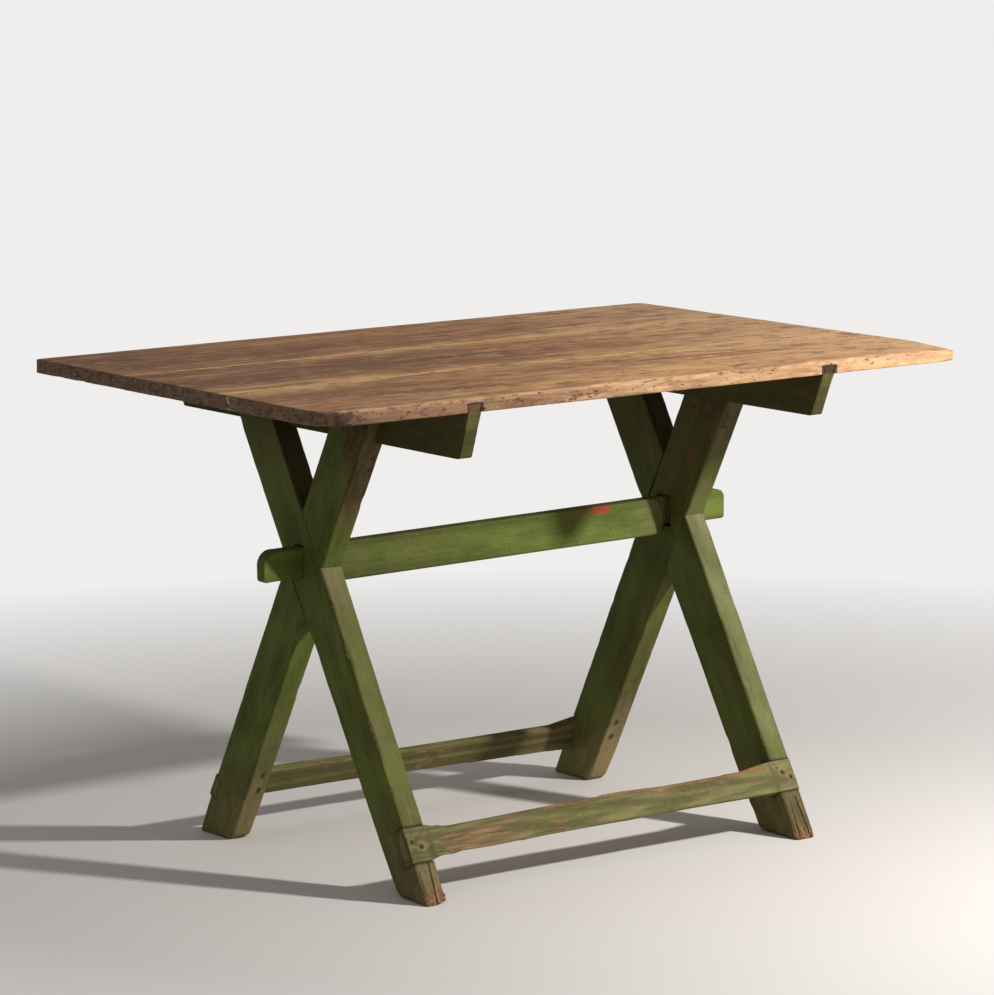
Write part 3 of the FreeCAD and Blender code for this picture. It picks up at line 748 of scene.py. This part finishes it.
def board(node, seed):
    """One board of the top. Its arrises are rounded by a radius that wanders along them, its front edge
    and ends are pitted, and its right front corner is worn down."""
    low, high = box_of(node)
    shape = merged_copy(node)
    slice_across(shape, 2, places_between(low[2], high[2], 5 * MM))
    slice_across(shape, 1, places_between(low[1], high[1], 9 * MM))
    slice_across(shape, 0, places_between(low[0], high[0], 5 * MM))
    points, _ = arrays_of(shape)
    place = points.copy()
    x, y, z = place.T
    outer, inward = plan_depth(points)
    seam, toward = seam_depth(points, low, high)
    at_front = ramp(0.5, 0.9, inward[:, 1]) * (y < 0)
    at_left = ramp(0.5, 0.9, inward[:, 0])
    at_right = ramp(0.5, 0.9, -inward[:, 0])
    rightward = (x - TOP_LOW[0]) / (TOP_HIGH[0] - TOP_LOW[0])
    by_seam = seam < outer
    depth = np.where(by_seam, seam, outer)
    inward = np.where(by_seam[:, None], np.stack([0 * toward, toward], axis=1), inward)
    top_depth = high[2] - z
    under_depth = z - low[2]
    from_corner = distance(place, WORN_CORNER)
    tip = ramp(40 * MM, 8 * MM, from_corner)
    worn_corner = ramp(120 * MM, 0.0, from_corner)

    slow = layered_noise(points, (90 * MM, 90 * MM, 1), seed)
    quick = layered_noise(points, (16 * MM, 16 * MM, 40 * MM), seed + 5)
    chips = ramp(0.3, 0.75, lattice_noise(points, (22 * MM, 22 * MM, 60 * MM), seed + 9))
    front_wide = 5.2 + 1.8 * slow + 1.4 * quick + 2.0 * chips
    upper_wide = 2.2 + 1.0 * slow + 0.8 * quick + at_front * front_wide
    upper_wide += at_left * 1.6 * chips + 3.0 * tip
    left_wide = 1.2 + 1.5 * slow + 1.2 * quick + 5.5 * chips
    lower_wide = 1.8 + 0.9 * slow + 0.9 * quick + at_left * left_wide
    lower_wide += at_front * 1.6 * chips + 4.0 * tip
    upper_wide = np.where(by_seam, 1.1 + 0.5 * slow + 0.5 * quick, upper_wide)
    lower_wide = np.where(by_seam, 0.5, lower_wide)
    upper = top_depth < under_depth
    wide = np.maximum(np.where(upper, upper_wide, lower_wide), 0.4) * MM
    face_depth = np.where(upper, top_depth, under_depth)
    new = rounded(np.stack([depth, face_depth], axis=1), wide)

    pits = ramp(0.25, 0.8, lattice_noise(place, 8 * MM, seed + 13))
    pits += ramp(0.3, 0.8, lattice_noise(place, 15 * MM, seed + 14))
    side = fading(outer, 1.5 * MM) * (outer <= seam)
    hollow = side * (at_front * (0.5 * pits + 0.35) + (at_left + at_right) * 0.6 * pits) * MM
    for corner in SQUARER_CORNERS:
        points[:, :2] += squarer_corner(place, *corner)
    points[:, :2] += (new[:, 0] - depth + hollow)[:, None] * inward
    points[:, 2] += (new[:, 1] - face_depth) * np.where(upper, -1, 1)
    settle = 0.25 + 0.25 * layered_noise(place, (0.25, 45 * MM, 1), seed + 20) + 4.5 * worn_corner
    points[:, 2] -= settle * MM * (1 - np.clip(top_depth / (high[2] - low[2]), 0, 1))

    on_top = fading(top_depth, 6.5 * MM)
    # The wide band of worn wood along the front is also a painted highlight on the rounded front arris.
    front_wear = fading(outer, 16 * MM) * at_front * (0.85 + 0.5 * rightward + 0.35 * slow)
    end_wear = fading(outer, 3 * MM) * (at_left + at_right) * 0.35
    side_mark = fading(outer, 1.2 * MM) * (outer <= seam)
    end = side_mark * np.maximum(at_left, at_right * 0.6)
    front = side_mark * at_front
    light, dark = board_tones(place, rightward)
    on_left_end = end * at_left
    line_y, line_z, line_slope, line_wide = SCAR_LINE
    scar_line = bell(y - line_y - line_slope * (z - line_z), line_wide)
    add_piece(
        node,
        shape,
        points,
        "top_wood",
        TOP,
        grain=np.stack([y + seed, z, x], axis=1),
        wear=on_top * (front_wear + end_wear) + worn_corner * 0.6,
        end=end,
        front=front,
        light=light,
        dark=dark + 0.4 * end * on_top,
        olive=0.9 * bell(distance(place, *OLIVE_SPOT), 1) * ("front" in node),
        gold=1.9 * rightward - 0.2,
        # Painted shade in the gaps around the dovetails.
        gap=front * dovetail_gap(place),
        rust=on_left_end * spots((y, z), END_RUST) + 1.8 * front * round_spot(place, FRONT_RUST),
        scar=on_left_end * (scar_line + spots((y, z), END_SCARS)) + round_spot(place, FRONT_SCAR),
    )


# ------------------------------------------------------------------ the legs

LEGS = ("left_front_foot_leg", "left_back_foot_leg", "right_front_foot_leg", "right_back_foot_leg")
PAINT_MARKS = ("dirt", "bare", "pale", "red", "fresh_and_lit", "dark", "dust", "raw")

# Each split of a foot: its lower end, its upper end, both by x and z, and how many millimetres deep.
SPLITS = {
    "left_front_foot_leg": (
        ((-0.3430, 0.0), (-0.3360, 0.066), 4.0),
        ((-0.3590, 0.0), (-0.3568, 0.062), 2.5),
    ),
    "right_front_foot_leg": (
        ((0.3610, 0.0), (0.3560, 0.070), 6.0),
        ((0.3400, 0.0), (0.3450, 0.062), 2.5),
    ),
}
SPLIT_TOP = 62 * MM
SPLIT_HALF_WIDTH = 1.1 * MM

# The chipped corner of the left front foot, and the two spots on the right back leg's left face: the y
# and z of the middle and the size.
BITE_PLACE = (-0.29, 0.0)
BITE_SIZE = (0.022, 0.04, 0.03)
BITE_DEEP = 9 * MM
RED_SPOT = ((-0.059, 0.564), (1, 0.010, 0.011))
WORN_SPOT = ((-0.073, 0.664), (1, 0.016, 0.008))


def edge_lines(node):
    """The y of the leg's front and back edge at the floor and at its top, and the height."""
    low, high = box_of(node)
    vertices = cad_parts[node].data.vertices
    places = np.empty(3 * len(vertices), np.float32)
    vertices.foreach_get("co", places)
    places = places.reshape(-1, 3)
    at_foot = places[np.abs(places[:, 2] - low[2]) < 0.01 * MM][:, 1]
    at_top = places[np.abs(places[:, 2] - high[2]) < 0.01 * MM][:, 1]
    return at_foot.min(), at_foot.max(), at_top.min(), at_top.max(), high[2] - low[2]


def leg_marks(node, leg):
    """Where a leg is dirty, worn through, pale, red, dark, dusty or raw. Each leg has its own places,
    given by their height above the floor. Part of the darkening is painted shade: near-black on the
    inner faces of the upper legs, in the splits and just under the top, soiled brown near the top, and a
    browner lower front on the left front leg for the lamp's weaker light there."""
    z, in_front, by_front = leg.height, leg.front_depth, leg.by_front
    side, way = node.split("_")[:2]
    m = SimpleNamespace(**{name: 0 * z for name in PAINT_MARKS})
    near_front = in_front < 3 * MM
    on_front = in_front < 2 * MM
    noise = layered_noise(leg.points, 90 * MM, leg.seed + 50)
    # The soiled feet are real. The rise toward the top is partly painted shade under the table top.
    m.dirt = 0.55 * ramp(0.17, 0.03, z) + 0.3 * ramp(0.5, 0.68, z) + 0.15 * noise
    m.dirt += (0.15 if way == "back" else 0.08) * by_front + 0.18 * (side == "right")
    m.bare = 0.12 * ramp(0.06, 0.0, z)
    m.dust = (0.3 + 0.25 * near_front) * ramp(0.16, 0.04, z)
    m.raw = ramp(0.024, 0.004, z) * (0.95 + 0.3 * leg.quick) * (0.5 + 0.5 * near_front)
    inner = (leg.side_depth < 2 * MM) & (by_front if way == "front" else ~by_front)
    # Painted shade: near-black on the inner faces of the upper legs between the arms, and a darkening just
    # under the top.
    m.dark = 0.7 * ramp(0.47, 0.52, z) * inner + 0.25 * ramp(0.6, 0.74, z)
    # Painted shade in the splits of the feet.
    m.dark += leg.split_mark
    if side == "right":
        m.dark += 0.10 * ramp(0.05, 0.25, z) + 0.10 * ramp(0.3, 0.6, z)
    if way == "front":
        square = z + in_front * sin(leg.front_lean)
        on_edge = np.minimum(np.abs(square - leg.notch[0]), np.abs(square - leg.notch[1]))
        m.dark += bell(on_edge, 1.6 * MM) * (in_front < 22 * MM)
    else:
        m.raw *= 0.5
        m.dust += (0.8 if side == "right" else 0.2) * ramp(0.2, 0.04, z)
        m.dirt += 0.28 * near_front * ramp(0.38, 0.15, z)

    if (side, way) == ("left", "front"):
        # The left front leg is browner and darker low on its front. This is partly real soil and partly
        # painted shade, for the lamp's light, which is weaker this far from it.
        m.dirt += 0.15 * ramp(0.45, 0.1, z) + 0.2 * near_front
        m.dirt += 0.3 * ramp(0.3, 0.45, z) * on_front
        m.raw += 0.8 * ramp(0.034, 0.012, z) * near_front
        m.pale = 0.4 * ramp(0.38, 0.47, z) * on_front
    elif (side, way) == ("left", "back"):
        m.dirt += 0.75 * leg.waned - 0.2 * ramp(0.5, 0.68, z)
        m.bare += 0.12 * leg.waned
        m.pale = 0.3 * ramp(0.24, 0.16, z) * near_front
    elif (side, way) == ("right", "front"):
        m.raw = m.raw * 0.5 + 0.6 * ramp(0.09, 0.0, z) * near_front
        m.dust *= 0.7 - 0.4 * near_front
        m.pale = (0.5 + 0.3 * ramp(0.39, 0.47, z)) * ramp(0.1, 0.2, z) * on_front
        m.bare += 0.15 * ramp(0.42, 0.47, z) * on_front
        m.dark += 0.14 * ramp(0.09, 0.05, z) * near_front
    else:
        (red_place, red_size), (worn_place, worn_size) = RED_SPOT, WORN_SPOT
        m.red = 0.8 * bell(distance(leg.points, (leg.low[0], *red_place), red_size), 1)
        m.bare += 0.8 * bell(distance(leg.points, (leg.low[0], *worn_place), worn_size), 1)
        m.dirt += 0.1 * ramp(0.45, 0.55, z) - 0.25 * ramp(0.2, 0.05, z) * ~near_front
        m.pale = 0.35 * ramp(0.56, 0.46, z) * ramp(0.4, 0.44, z) * on_front
    return vars(m)


def make_leg(node, seed):
    """One leg. It is cut and worn standing straight, with its width as one unit, and then slanted back.
    Its arrises are rounded by a radius that wanders, with chips, a wane, worn feet and splits."""
    low, high = box_of(node)
    foot_front, foot_back, top_front, top_back, height = edge_lines(node)
    front_lean = atan2(top_front - foot_front, height)
    back_lean = atan2(top_back - foot_back, height)

    def front(z):
        return foot_front + (top_front - foot_front) * z / height

    def back(z):
        return foot_back + (top_back - foot_back) * z / height

    shape = merged_copy(node)
    points, _ = arrays_of(shape)
    z = points[:, 2]
    notched = (np.abs(points[:, 1] - front(z)) < 0.05 * MM) & (z > 10 * MM) & (z < 150 * MM)
    notch = (z[notched].min(), z[notched].max()) if notched.any() else (0, 0)
    points[:, 1] = (points[:, 1] - front(z)) / (back(z) - front(z))
    moved_shape(shape, points)
    mean = (foot_back - foot_front + top_back - top_front) / 2
    slice_across(shape, 0, places_between(low[0], high[0], 6 * MM))
    slice_across(shape, 1, [p / mean for p in places_between(0, mean, 8 * MM)])
    slice_across(shape, 2, places_between(low[2], high[2], 4 * MM, fine_high=False))
    splits = SPLITS.get(node, ())
    if splits:
        faces = [f for f in shape.faces if f.calc_center_median()[2] < SPLIT_TOP]
        faces = [f for f in faces if f.calc_center_median()[1] < 1e-3]
        slice_across(shape, 0, list(np.arange(low[0] + 9 * MM, high[0] - 2 * MM, 0.8 * MM)), faces)
    points, _ = arrays_of(shape)
    x, across, z = points.T.copy()
    points[:, 1] = across * (back(z) - front(z)) + front(z)

    front_depth = (points[:, 1] - front(z)) * cos(front_lean)
    back_depth = (back(z) - points[:, 1]) * cos(back_lean)
    by_front = front_depth < back_depth
    side_depth = np.where(by_front, front_depth, back_depth)
    by_left = x - low[0] < high[0] - x
    flat_depth = np.where(by_left, x - low[0], high[0] - x)
    foot_depth = z - low[2]
    corner = by_front * 2 + by_left
    along = np.stack([corner * 3.7 + seed, 0 * corner, z], axis=1)
    slow = layered_noise(along, (1, 1, 80 * MM), seed)
    quick = layered_noise(along, (1, 1, 14 * MM), seed + 4)
    chips = ramp(0.35, 0.8, lattice_noise(along, (1, 1, 26 * MM), seed + 8))
    radius = 4.6 + 1.6 * slow + 0.8 * quick + 2.6 * chips
    radius += 3.0 * ramp(70 * MM, 0.0, z) * (1 + 0.6 * quick)
    depths = np.stack([side_depth, flat_depth, foot_depth], axis=1)
    push = rounded(depths, np.maximum(radius, 0.7) * MM) - depths
    uneven = 0.5 + 0.5 * layered_noise(points, 70 * MM, seed + 30)
    push[:, 0] += fading(side_depth, 1 * MM) * 0.7 * MM * uneven
    push[:, 1] += fading(flat_depth, 1 * MM) * 0.5 * MM * (1 - uneven)
    waned = 0 * z
    if node == "left_back_foot_leg":
        grow = ramp(0.585, 0.70, z)
        reach = (4 + 52 * grow + 5 * quick * grow) * MM
        deep = (1 + 13 * grow + 2.0 * quick * grow) * MM
        wane = deep * np.clip(1 - front_depth / reach, 0, 1) * grow * (x < low[0] + 1 * MM)
        push[:, 1] = np.maximum(push[:, 1], wane)
        on_arris = by_front * (front_depth < 3 * MM) * ramp(0.47, 0.62, z)
        waned = ramp(reach + 3 * MM, reach - 3 * MM, front_depth) * grow
        waned = np.maximum(waned, on_arris)
    if node == "left_front_foot_leg":
        bite = np.clip(1 - distance(points, (high[0], *BITE_PLACE), BITE_SIZE), 0, 1)
        push[:, 2] += bite * BITE_DEEP * (foot_depth < 8 * MM)
    split_mark = 0 * z
    for (x0, z0), (x1, z1), deep in splits:
        line = x0 + (x1 - x0) * (z - z0) / (z1 - z0) + 0.5 * MM * quick
        fade = ramp(z1, z1 - 18 * MM, z) * (front_depth < 0.5 * MM)
        groove = np.clip(1 - np.abs(x - line) / SPLIT_HALF_WIDTH, 0, 1) * fade
        push[:, 0] += groove * deep * MM
        split_mark = np.maximum(split_mark, groove)
    lean = np.where(by_front, front_lean, back_lean)
    sign = np.where(by_front, 1, -1)
    points[:, 0] += push[:, 1] * np.where(by_left, 1, -1)
    points[:, 1] += push[:, 0] * sign * np.cos(lean)
    points[:, 2] += push[:, 2] - push[:, 0] * sign * np.sin(lean)
    points[:, 2] = np.clip(points[:, 2], low[2], high[2])

    found = leg_marks(
        node,
        SimpleNamespace(
            points=points,
            low=low,
            seed=seed,
            height=z,
            front_depth=front_depth,
            side_depth=side_depth,
            by_front=by_front,
            front_lean=front_lean,
            notch=notch,
            quick=quick,
            waned=waned,
            split_mark=split_mark,
        ),
    )
    lean = (front_lean + back_lean) / 2
    along_grain = points[:, 2] * cos(lean) + points[:, 1] * sin(lean)
    across_grain = points[:, 1] * cos(lean) - points[:, 2] * sin(lean)
    add_piece(
        node,
        shape,
        points,
        "painted_wood",
        PAINT,
        grain=np.stack([across_grain + seed, points[:, 0], along_grain], axis=1),
        wear=fading(side_depth + flat_depth, 5 * MM) * (0.75 + 0.5 * slow + 0.8 * chips),
        **found,
    )


# ------------------------------------------------------------------ nails


def nail_lines(node):
    """The head's middle, the direction out of the wood and the length of each nail of one node."""
    shape = merged_copy(node)
    corners, ends = arrays_of(shape)
    shape.free()
    group = np.arange(len(corners))
    for _ in range(len(corners)):
        lowest = np.minimum(group[ends[:, 0]], group[ends[:, 1]])
        np.minimum.at(group, ends[:, 0], lowest)
        np.minimum.at(group, ends[:, 1], lowest)
        if (group[ends[:, 0]] == group[ends[:, 1]]).all():
            break
    lines = []
    for one in np.unique(group):
        own = corners[group == one]
        middle = own.mean(axis=0)
        line = np.linalg.svd(own - middle)[2][0]
        reach = (own - middle) @ line
        away = np.linalg.norm((own - middle) - reach[:, None] * line, axis=1)
        if reach[np.argmax(away)] < 0:
            line = -line
            reach = -reach
        lines.append((middle + line * reach.max(), line, reach.max() - reach.min()))
    return lines


NAILS = {name: nail_lines(name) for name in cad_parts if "nails" in name}
NAIL_HEADS = np.array([head for lines in NAILS.values() for head, _, _ in lines])
NAIL_SUNK = 0.1 * MM
NAIL_TURNS = 28

# The profile of a nail's head and shank, from the pit in its middle outward and down.
HEAD_RADII = np.array([0.02, 0.8, 1.3, 1.9, 3.4, 4.1, 4.5, 4.5]) * MM
HEAD_HEIGHTS = np.array([-1.0, -0.9, -0.3, 0.0, 0.0, -0.08, -0.3, -1.6]) * MM
PIT_RADIUS = 1.5 * MM
SHANK_RADII = np.array([2.5, 2.5, 0.3]) * MM
OPEN_PITS = ("front_stretcher_nails_right", "back_stretcher_nails_left")


def wood_face(node, head):
    """The outward direction of the leg's face that holds a nail's head, and how far the head is from it."""
    side = "left" if "left" in node else "right"
    way = "front" if "front" in node else "back"
    foot_front, foot_back, top_front, top_back, height = edge_lines(side + "_" + way + "_foot_leg")
    found = []
    for foot, top, sign in ((foot_front, top_front, -1), (foot_back, top_back, 1)):
        lean = atan2(top - foot, height)
        normal = sign * np.array([0, cos(lean), -sin(lean)])
        away = (head - [0, foot, 0]) @ normal
        found.append((abs(away), away, normal))
    _, away, normal = min(found, key=lambda one: one[0])
    return normal, away


def nails(node, pits):
    """The nails of one node. Each is a profile of radius and height turned round the nail's own line:
    a low head with a pit in it, skewed to lie flush with the wood, and a shank that narrows to its
    point."""
    places = []
    faces = []
    painted = []
    start = 0
    angle = np.arange(NAIL_TURNS) * 2 * pi / NAIL_TURNS
    for (head, line, length), pit in zip(NAILS[node], pits):
        normal, away = wood_face(node, head)
        top = head - line * (away / (line @ normal) + NAIL_SUNK)
        pit_heights = np.where(HEAD_RADII < PIT_RADIUS, HEAD_HEIGHTS * pit, HEAD_HEIGHTS)
        radii = np.concatenate([HEAD_RADII, SHANK_RADII])
        heights = np.concatenate([pit_heights, [-2.6 * MM, 4 * MM - length, 1 * MM - length]])
        across = np.cross(line, [0.3, 0.5, 0.81])
        across /= np.linalg.norm(across)
        other = np.cross(line, across)
        ring = np.cos(angle)[:, None] * across + np.sin(angle)[:, None] * other
        skew = -(ring @ normal) / (line @ normal)
        ring = ring + skew[:, None] * line
        grid = top + radii[:, None, None] * ring[None] + heights[:, None, None] * line
        row, column = np.meshgrid(np.arange(len(radii) - 1), np.arange(NAIL_TURNS), indexing="ij")
        beside = (column + 1) % NAIL_TURNS
        here = row * NAIL_TURNS
        below = here + NAIL_TURNS
        corners = (here + column, below + column, below + beside, here + beside)
        faces += (np.stack([c.ravel() for c in corners], axis=1) + start).tolist()
        faces.append([start + k for k in range(NAIL_TURNS)])
        last = start + len(radii) * NAIL_TURNS - 1
        faces.append([last - k for k in range(NAIL_TURNS)])
        places.append(grid.reshape(-1, 3))
        painted.append(np.repeat((radii > 1.4 * MM) & (heights > -1 * MM), NAIL_TURNS))
        start = last + 1
    mesh = bpy.data.meshes.new(node + "_iron")
    mesh.from_pydata(np.concatenate(places).tolist(), [], faces)
    add_mark(mesh, "painted", np.concatenate(painted).astype(float))
    piece = linked_object(node + "_iron", mesh, IRON, 50)
    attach(piece, "root")
    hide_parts(node)


# ------------------------------------------------------------------ rail, battens and stretchers

# The red spots on the rail's front: the x and z of the middle, the size and the strength.
RAIL_SPOTS = (
    (0.200, 0.4955, (0.023, 0.02, 0.009), 1.0),
    (0.161, 0.496, (0.007, 0.02, 0.008), 0.8),
)


def bar_marks(node, points, low, high):
    """Where the rail, the battens and the stretchers are dirty, worn through, pale, red, bright green, dark
    or dusty. Some of it is painted light and shade: the rail is painted lighter toward its right end and
    darker toward its left, and the battens are painted darker under the top."""
    x, y, z = points.T
    noise = layered_noise(points, 60 * MM, 77)
    m = SimpleNamespace(**{name: 0 * x for name in PAINT_MARKS})
    if node == "centre_rail":
        between = x > -0.33
        # Along the rail the colour is lighter and greener to the right, and darker and browner to the left.
        # This is partly its own paint and partly painted light and shade: the left part is painted darker
        # for the shadow over it.
        m.fresh_and_lit = 0.1 + 0.15 * ramp(-0.1, 0.25, x) + 0.1 * noise
        m.dirt = 0.15 + 0.2 * ramp(0.05, -0.25, x) * between + 0.2 * noise
        # Painted light: the stretch before the right shoulder is paler, though the leg's shadow lies on it.
        m.pale = 0.5 * ramp(0.24, 0.31, x) * (x < 0.331)
        m.dark = 0.3 * ramp(0.1, -0.25, x) * between
        for at_x, at_z, size, strength in RAIL_SPOTS:
            m.red += strength * bell(distance(points, (at_x, low[1], at_z), size), 1)
    if "batten" in node:
        # The battens sit under the top. Their soiled, darker colour is partly painted shade there, and it is
        # lighter toward their front ends, where light reaches.
        m.dirt = 0.55 + 0.2 * noise
        m.bare = ramp(0.735, 0.740, z)
        ends = ramp(low[1] + 14 * MM, low[1] + 4 * MM, y)
        dovetail_dark = 0.5 if "left" in node else 0.92
        m.dark = dovetail_dark * m.bare + (0.42 - 0.34 * ends) * (1 - m.bare)
    if node == "front_stretcher":
        rise = (z - low[2]) / (high[2] - low[2])
        across = ramp(-0.33, -0.29, x) * ramp(0.33, 0.30, x)
        m.dirt = 0.6 + 0.25 * noise - 0.1 * ramp(-0.25, 0.0, x)
        m.dust = 1.1 - 0.5 * ramp(-0.335, -0.345, x)
        m.bare = 0.21 + 0.36 * ramp(0.70, 0.86, rise) - 0.10 * ramp(0.1, 0.3, x)
        m.bare += 0.30 * ramp(-0.14, -0.22, x) * ramp(0.75, 0.5, rise)
        m.bare *= across
    if node == "back_stretcher":
        m.dirt = 0.6 + 0.25 * noise
        m.bare = (0.06 + 0.25 * ramp(0.09, 0.1, z)) * (np.abs(x) < 0.31)
        m.dust += 0.9
    return vars(m)


# The line of the rail's broken shoulder: shares of the height, and the x at each.
SHOULDER_RISE = (0.0, 0.10, 0.28, 0.33, 0.66, 0.77, 0.91, 1.0)
SHOULDER_X = (0.3185, 0.3215, 0.3220, 0.3335, 0.3220, 0.3200, 0.3140, 0.3020)
SHOULDER_DEEP = 6 * MM
SHOULDER_CUTS = np.arange(0.297, 0.334, 1.0 * MM)


def break_shoulder(points, low, high):
    """Sets the rail's front back where its right shoulder is broken away, past a line that rounds its
    corner and leaves one sliver. Gives the mark of the broken place."""
    bottom = low[2] + 6.5 * MM
    rise = (points[:, 2] - bottom) / (high[2] - bottom)
    line = np.interp(rise, SHOULDER_RISE, SHOULDER_X)
    broken = ramp(0.0, 1.2 * MM, points[:, 0] - line) * ramp(0.350, 0.340, points[:, 0])
    inward = 1 - (points[:, 1] - low[1]) / (high[1] - low[1])
    points[:, 1] += broken * SHOULDER_DEEP * inward
    return broken * (inward > 0.4)


# How many millimetres the front stretcher is fuller above and below, at each x along it.
FULLER_X = (-0.328, -0.321, -0.304, -0.286, -0.268, -0.220, -0.110, 0.040, 0.120, 0.200)
FULLER_ABOVE = (0.0, 0.0, 0.0, 1.3, 3.2, 3.4, 4.8, 4.4, 0.3, 0.0)
FULLER_BELOW = (0.0, -4.5, -3.2, 2.1, 1.8, 3.4, 1.2, 2.2, 0.4, 0.0)
HALVES_BLEND = 8 * MM

# The underside is level between the legs: the x of the middle, and how far from it the levelling starts
# and is full.
BETWEEN_LEGS = (4 * MM, 0.322, 0.300)


def make_fuller(points, low, high):
    """Moves the upper half of the front stretcher up and its lower half down between the legs, by
    millimetres that follow the length."""
    middle = (low[2] + high[2]) / 2
    upper = ramp(middle - HALVES_BLEND, middle + HALVES_BLEND, points[:, 2])
    above = np.interp(points[:, 0], FULLER_X, FULLER_ABOVE) * MM
    below = np.interp(points[:, 0], FULLER_X, FULLER_BELOW) * MM
    points[:, 2] += upper * above - (1 - upper) * below


def level_bottom(points, low, high):
    """Turns the underside of the front stretcher level between the legs, from square to its face."""
    foot_front, _, top_front, _, height = edge_lines("left_front_foot_leg")
    slope = (top_front - foot_front) / height
    lean = atan2(top_front - foot_front, height)
    behind = (points[:, 1] - foot_front - slope * points[:, 2]) * cos(lean)
    middle = (low[2] + high[2]) / 2
    square = points[:, 2] + behind * sin(lean)
    under = ramp(middle + HALVES_BLEND, middle - HALVES_BLEND, square)
    centre, none, full = BETWEEN_LEGS
    between = ramp(none, full, np.abs(points[:, 0] - centre))
    points[:, 2] += np.maximum(behind, 0) * sin(lean) * under * between


SOFTENING_ROUNDS = 6


def bar(node, axis, seed):
    """A straight piece along an axis, whose arrises are softened by moving each vertex toward its
    neighbours' middle, but not at the nails. The wear follows how far each vertex moved."""
    low, high = box_of(node)
    shape = merged_copy(node)
    for other in (0, 1, 2):
        gap = 5 * MM if other == axis else 7 * MM
        slice_across(shape, other, places_between(low[other], high[other], gap))
    if node == "centre_rail":
        slice_across(shape, 0, SHOULDER_CUTS)
    points, ends = arrays_of(shape)
    count = np.bincount(ends.ravel(), minlength=len(points))
    rough = 0.6 + 0.4 * layered_noise(points, 50 * MM, seed)
    at_nail = np.linalg.norm(points[:, None] - NAIL_HEADS[None], axis=2).min(axis=1)
    rough = rough * ramp(6 * MM, 9 * MM, at_nail)
    before = points.copy()
    for _ in range(SOFTENING_ROUNDS):
        middle = np.zeros_like(points)
        np.add.at(middle, ends[:, 0], points[ends[:, 1]])
        np.add.at(middle, ends[:, 1], points[ends[:, 0]])
        middle /= count[:, None]
        points += (middle - points) * (0.6 * rough)[:, None]
    wear = np.clip(np.linalg.norm(points - before, axis=1) / (1.2 * MM), 0, 1)
    wear = wear * (0.9 if "stretcher" in node else 0.55)
    found = bar_marks(node, before, low, high)
    if node == "centre_rail":
        # A slight painted shade in the broken recess of the shoulder.
        found["dark"] += 0.1 * break_shoulder(points, low, high)
    if node == "front_stretcher":
        make_fuller(points, low, high)
        level_bottom(points, low, high)
    order = (1, 2, 0) if axis == 0 else (0, 2, 1)
    grain = points[:, order] + np.array([seed, 0, 0])
    add_piece(node, shape, points, "painted_wood", PAINT, grain=grain, wear=wear, **found)


# ------------------------------------------------------------------ all pieces

for number, name in enumerate(("top_board_front", "top_board_middle", "top_board_back")):
    board(name, number + 1)
for number, name in enumerate(LEGS):
    make_leg(name, number + 11)
bar("centre_rail", 0, 21)
bar("left_batten", 1, 22)
bar("right_batten", 1, 23)
bar("front_stretcher", 0, 24)
bar("back_stretcher", 0, 25)
for name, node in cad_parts.items():
    if "nails" in name:
        nails(name, (2.2, 0.3) if name in OPEN_PITS else (0.6, 0.4))
    if "dowels" in name:
        node.data.materials.clear()
        node.data.materials.append(DOWEL)


# ------------------------------------------------------------------ floor and light

FLOOR_HALF = 12.0
FLOOR_COLOUR = (210, 205, 199)
FLOOR_FADE = (0.9, 1.5)
BACKDROP_COLOUR = (240, 238, 237)
FILL_COLOUR = (255, 255, 255)
FILL_STRENGTH = 0.34
LAMP_PLACE = Vector((1.2, -1.88, 1.62))
LAMP_AIM = Vector((0.0, 0.0, 0.5))
LAMP_WIDTH = 0.16
LAMP_POWER = 83


def add_stage():
    """A plain pale floor that turns clear away from the table, so that it fades into the backdrop."""
    corners = [(x * FLOOR_HALF, y * FLOOR_HALF, 0) for x, y in ((-1, -1), (1, -1), (1, 1), (-1, 1))]
    mesh = bpy.data.meshes.new("floor")
    mesh.from_pydata(corners, [], [(0, 1, 2, 3)])
    floor = bpy.data.objects.new("floor", mesh)
    bpy.context.scene.collection.objects.link(floor)
    f = Finish("floor")
    far = f.add("VectorMath", {"operation": "LENGTH"}, "Value", {0: f.add("TexCoord", output="Object")})
    mesh.materials.append(f.close(FLOOR_COLOUR, 0.9))
    solid = Amount(f, f.shader.outputs["BSDF"])
    clear = f.add("BsdfTransparent")
    f.end("Material Output", f.add("MixShader", inputs={0: far.above(*FLOOR_FADE), 1: solid, 2: clear}))


def add_light():
    """A soft round lamp to the right of the camera and a dim even fill. The camera sees the backdrop's
    colour in place of the fill."""
    lamp = bpy.data.lights.new("key", "AREA")
    lamp.shape = "DISK"
    lamp.size = LAMP_WIDTH
    lamp.energy = LAMP_POWER
    key = bpy.data.objects.new("key", lamp)
    key.location = LAMP_PLACE
    key.rotation_mode = "QUATERNION"
    key.rotation_quaternion = (LAMP_AIM - LAMP_PLACE).to_track_quat("-Z", "Y")
    bpy.context.scene.collection.objects.link(key)
    world = bpy.data.worlds.new("world")
    bpy.context.scene.world = world
    world.use_nodes = True
    w = Nodes(world.node_tree)
    backdrop = w.add("Background", Color=BACKDROP_COLOUR)
    fill = w.add("Background", Color=FILL_COLOUR, Strength=FILL_STRENGTH)
    seen = w.add("LightPath", output="Is Camera Ray")
    w.end("World Output", w.add("MixShader", inputs={0: seen, 1: fill, 2: backdrop}))


add_stage()
add_light()
bpy.context.scene.view_settings.view_transform = "Standard"
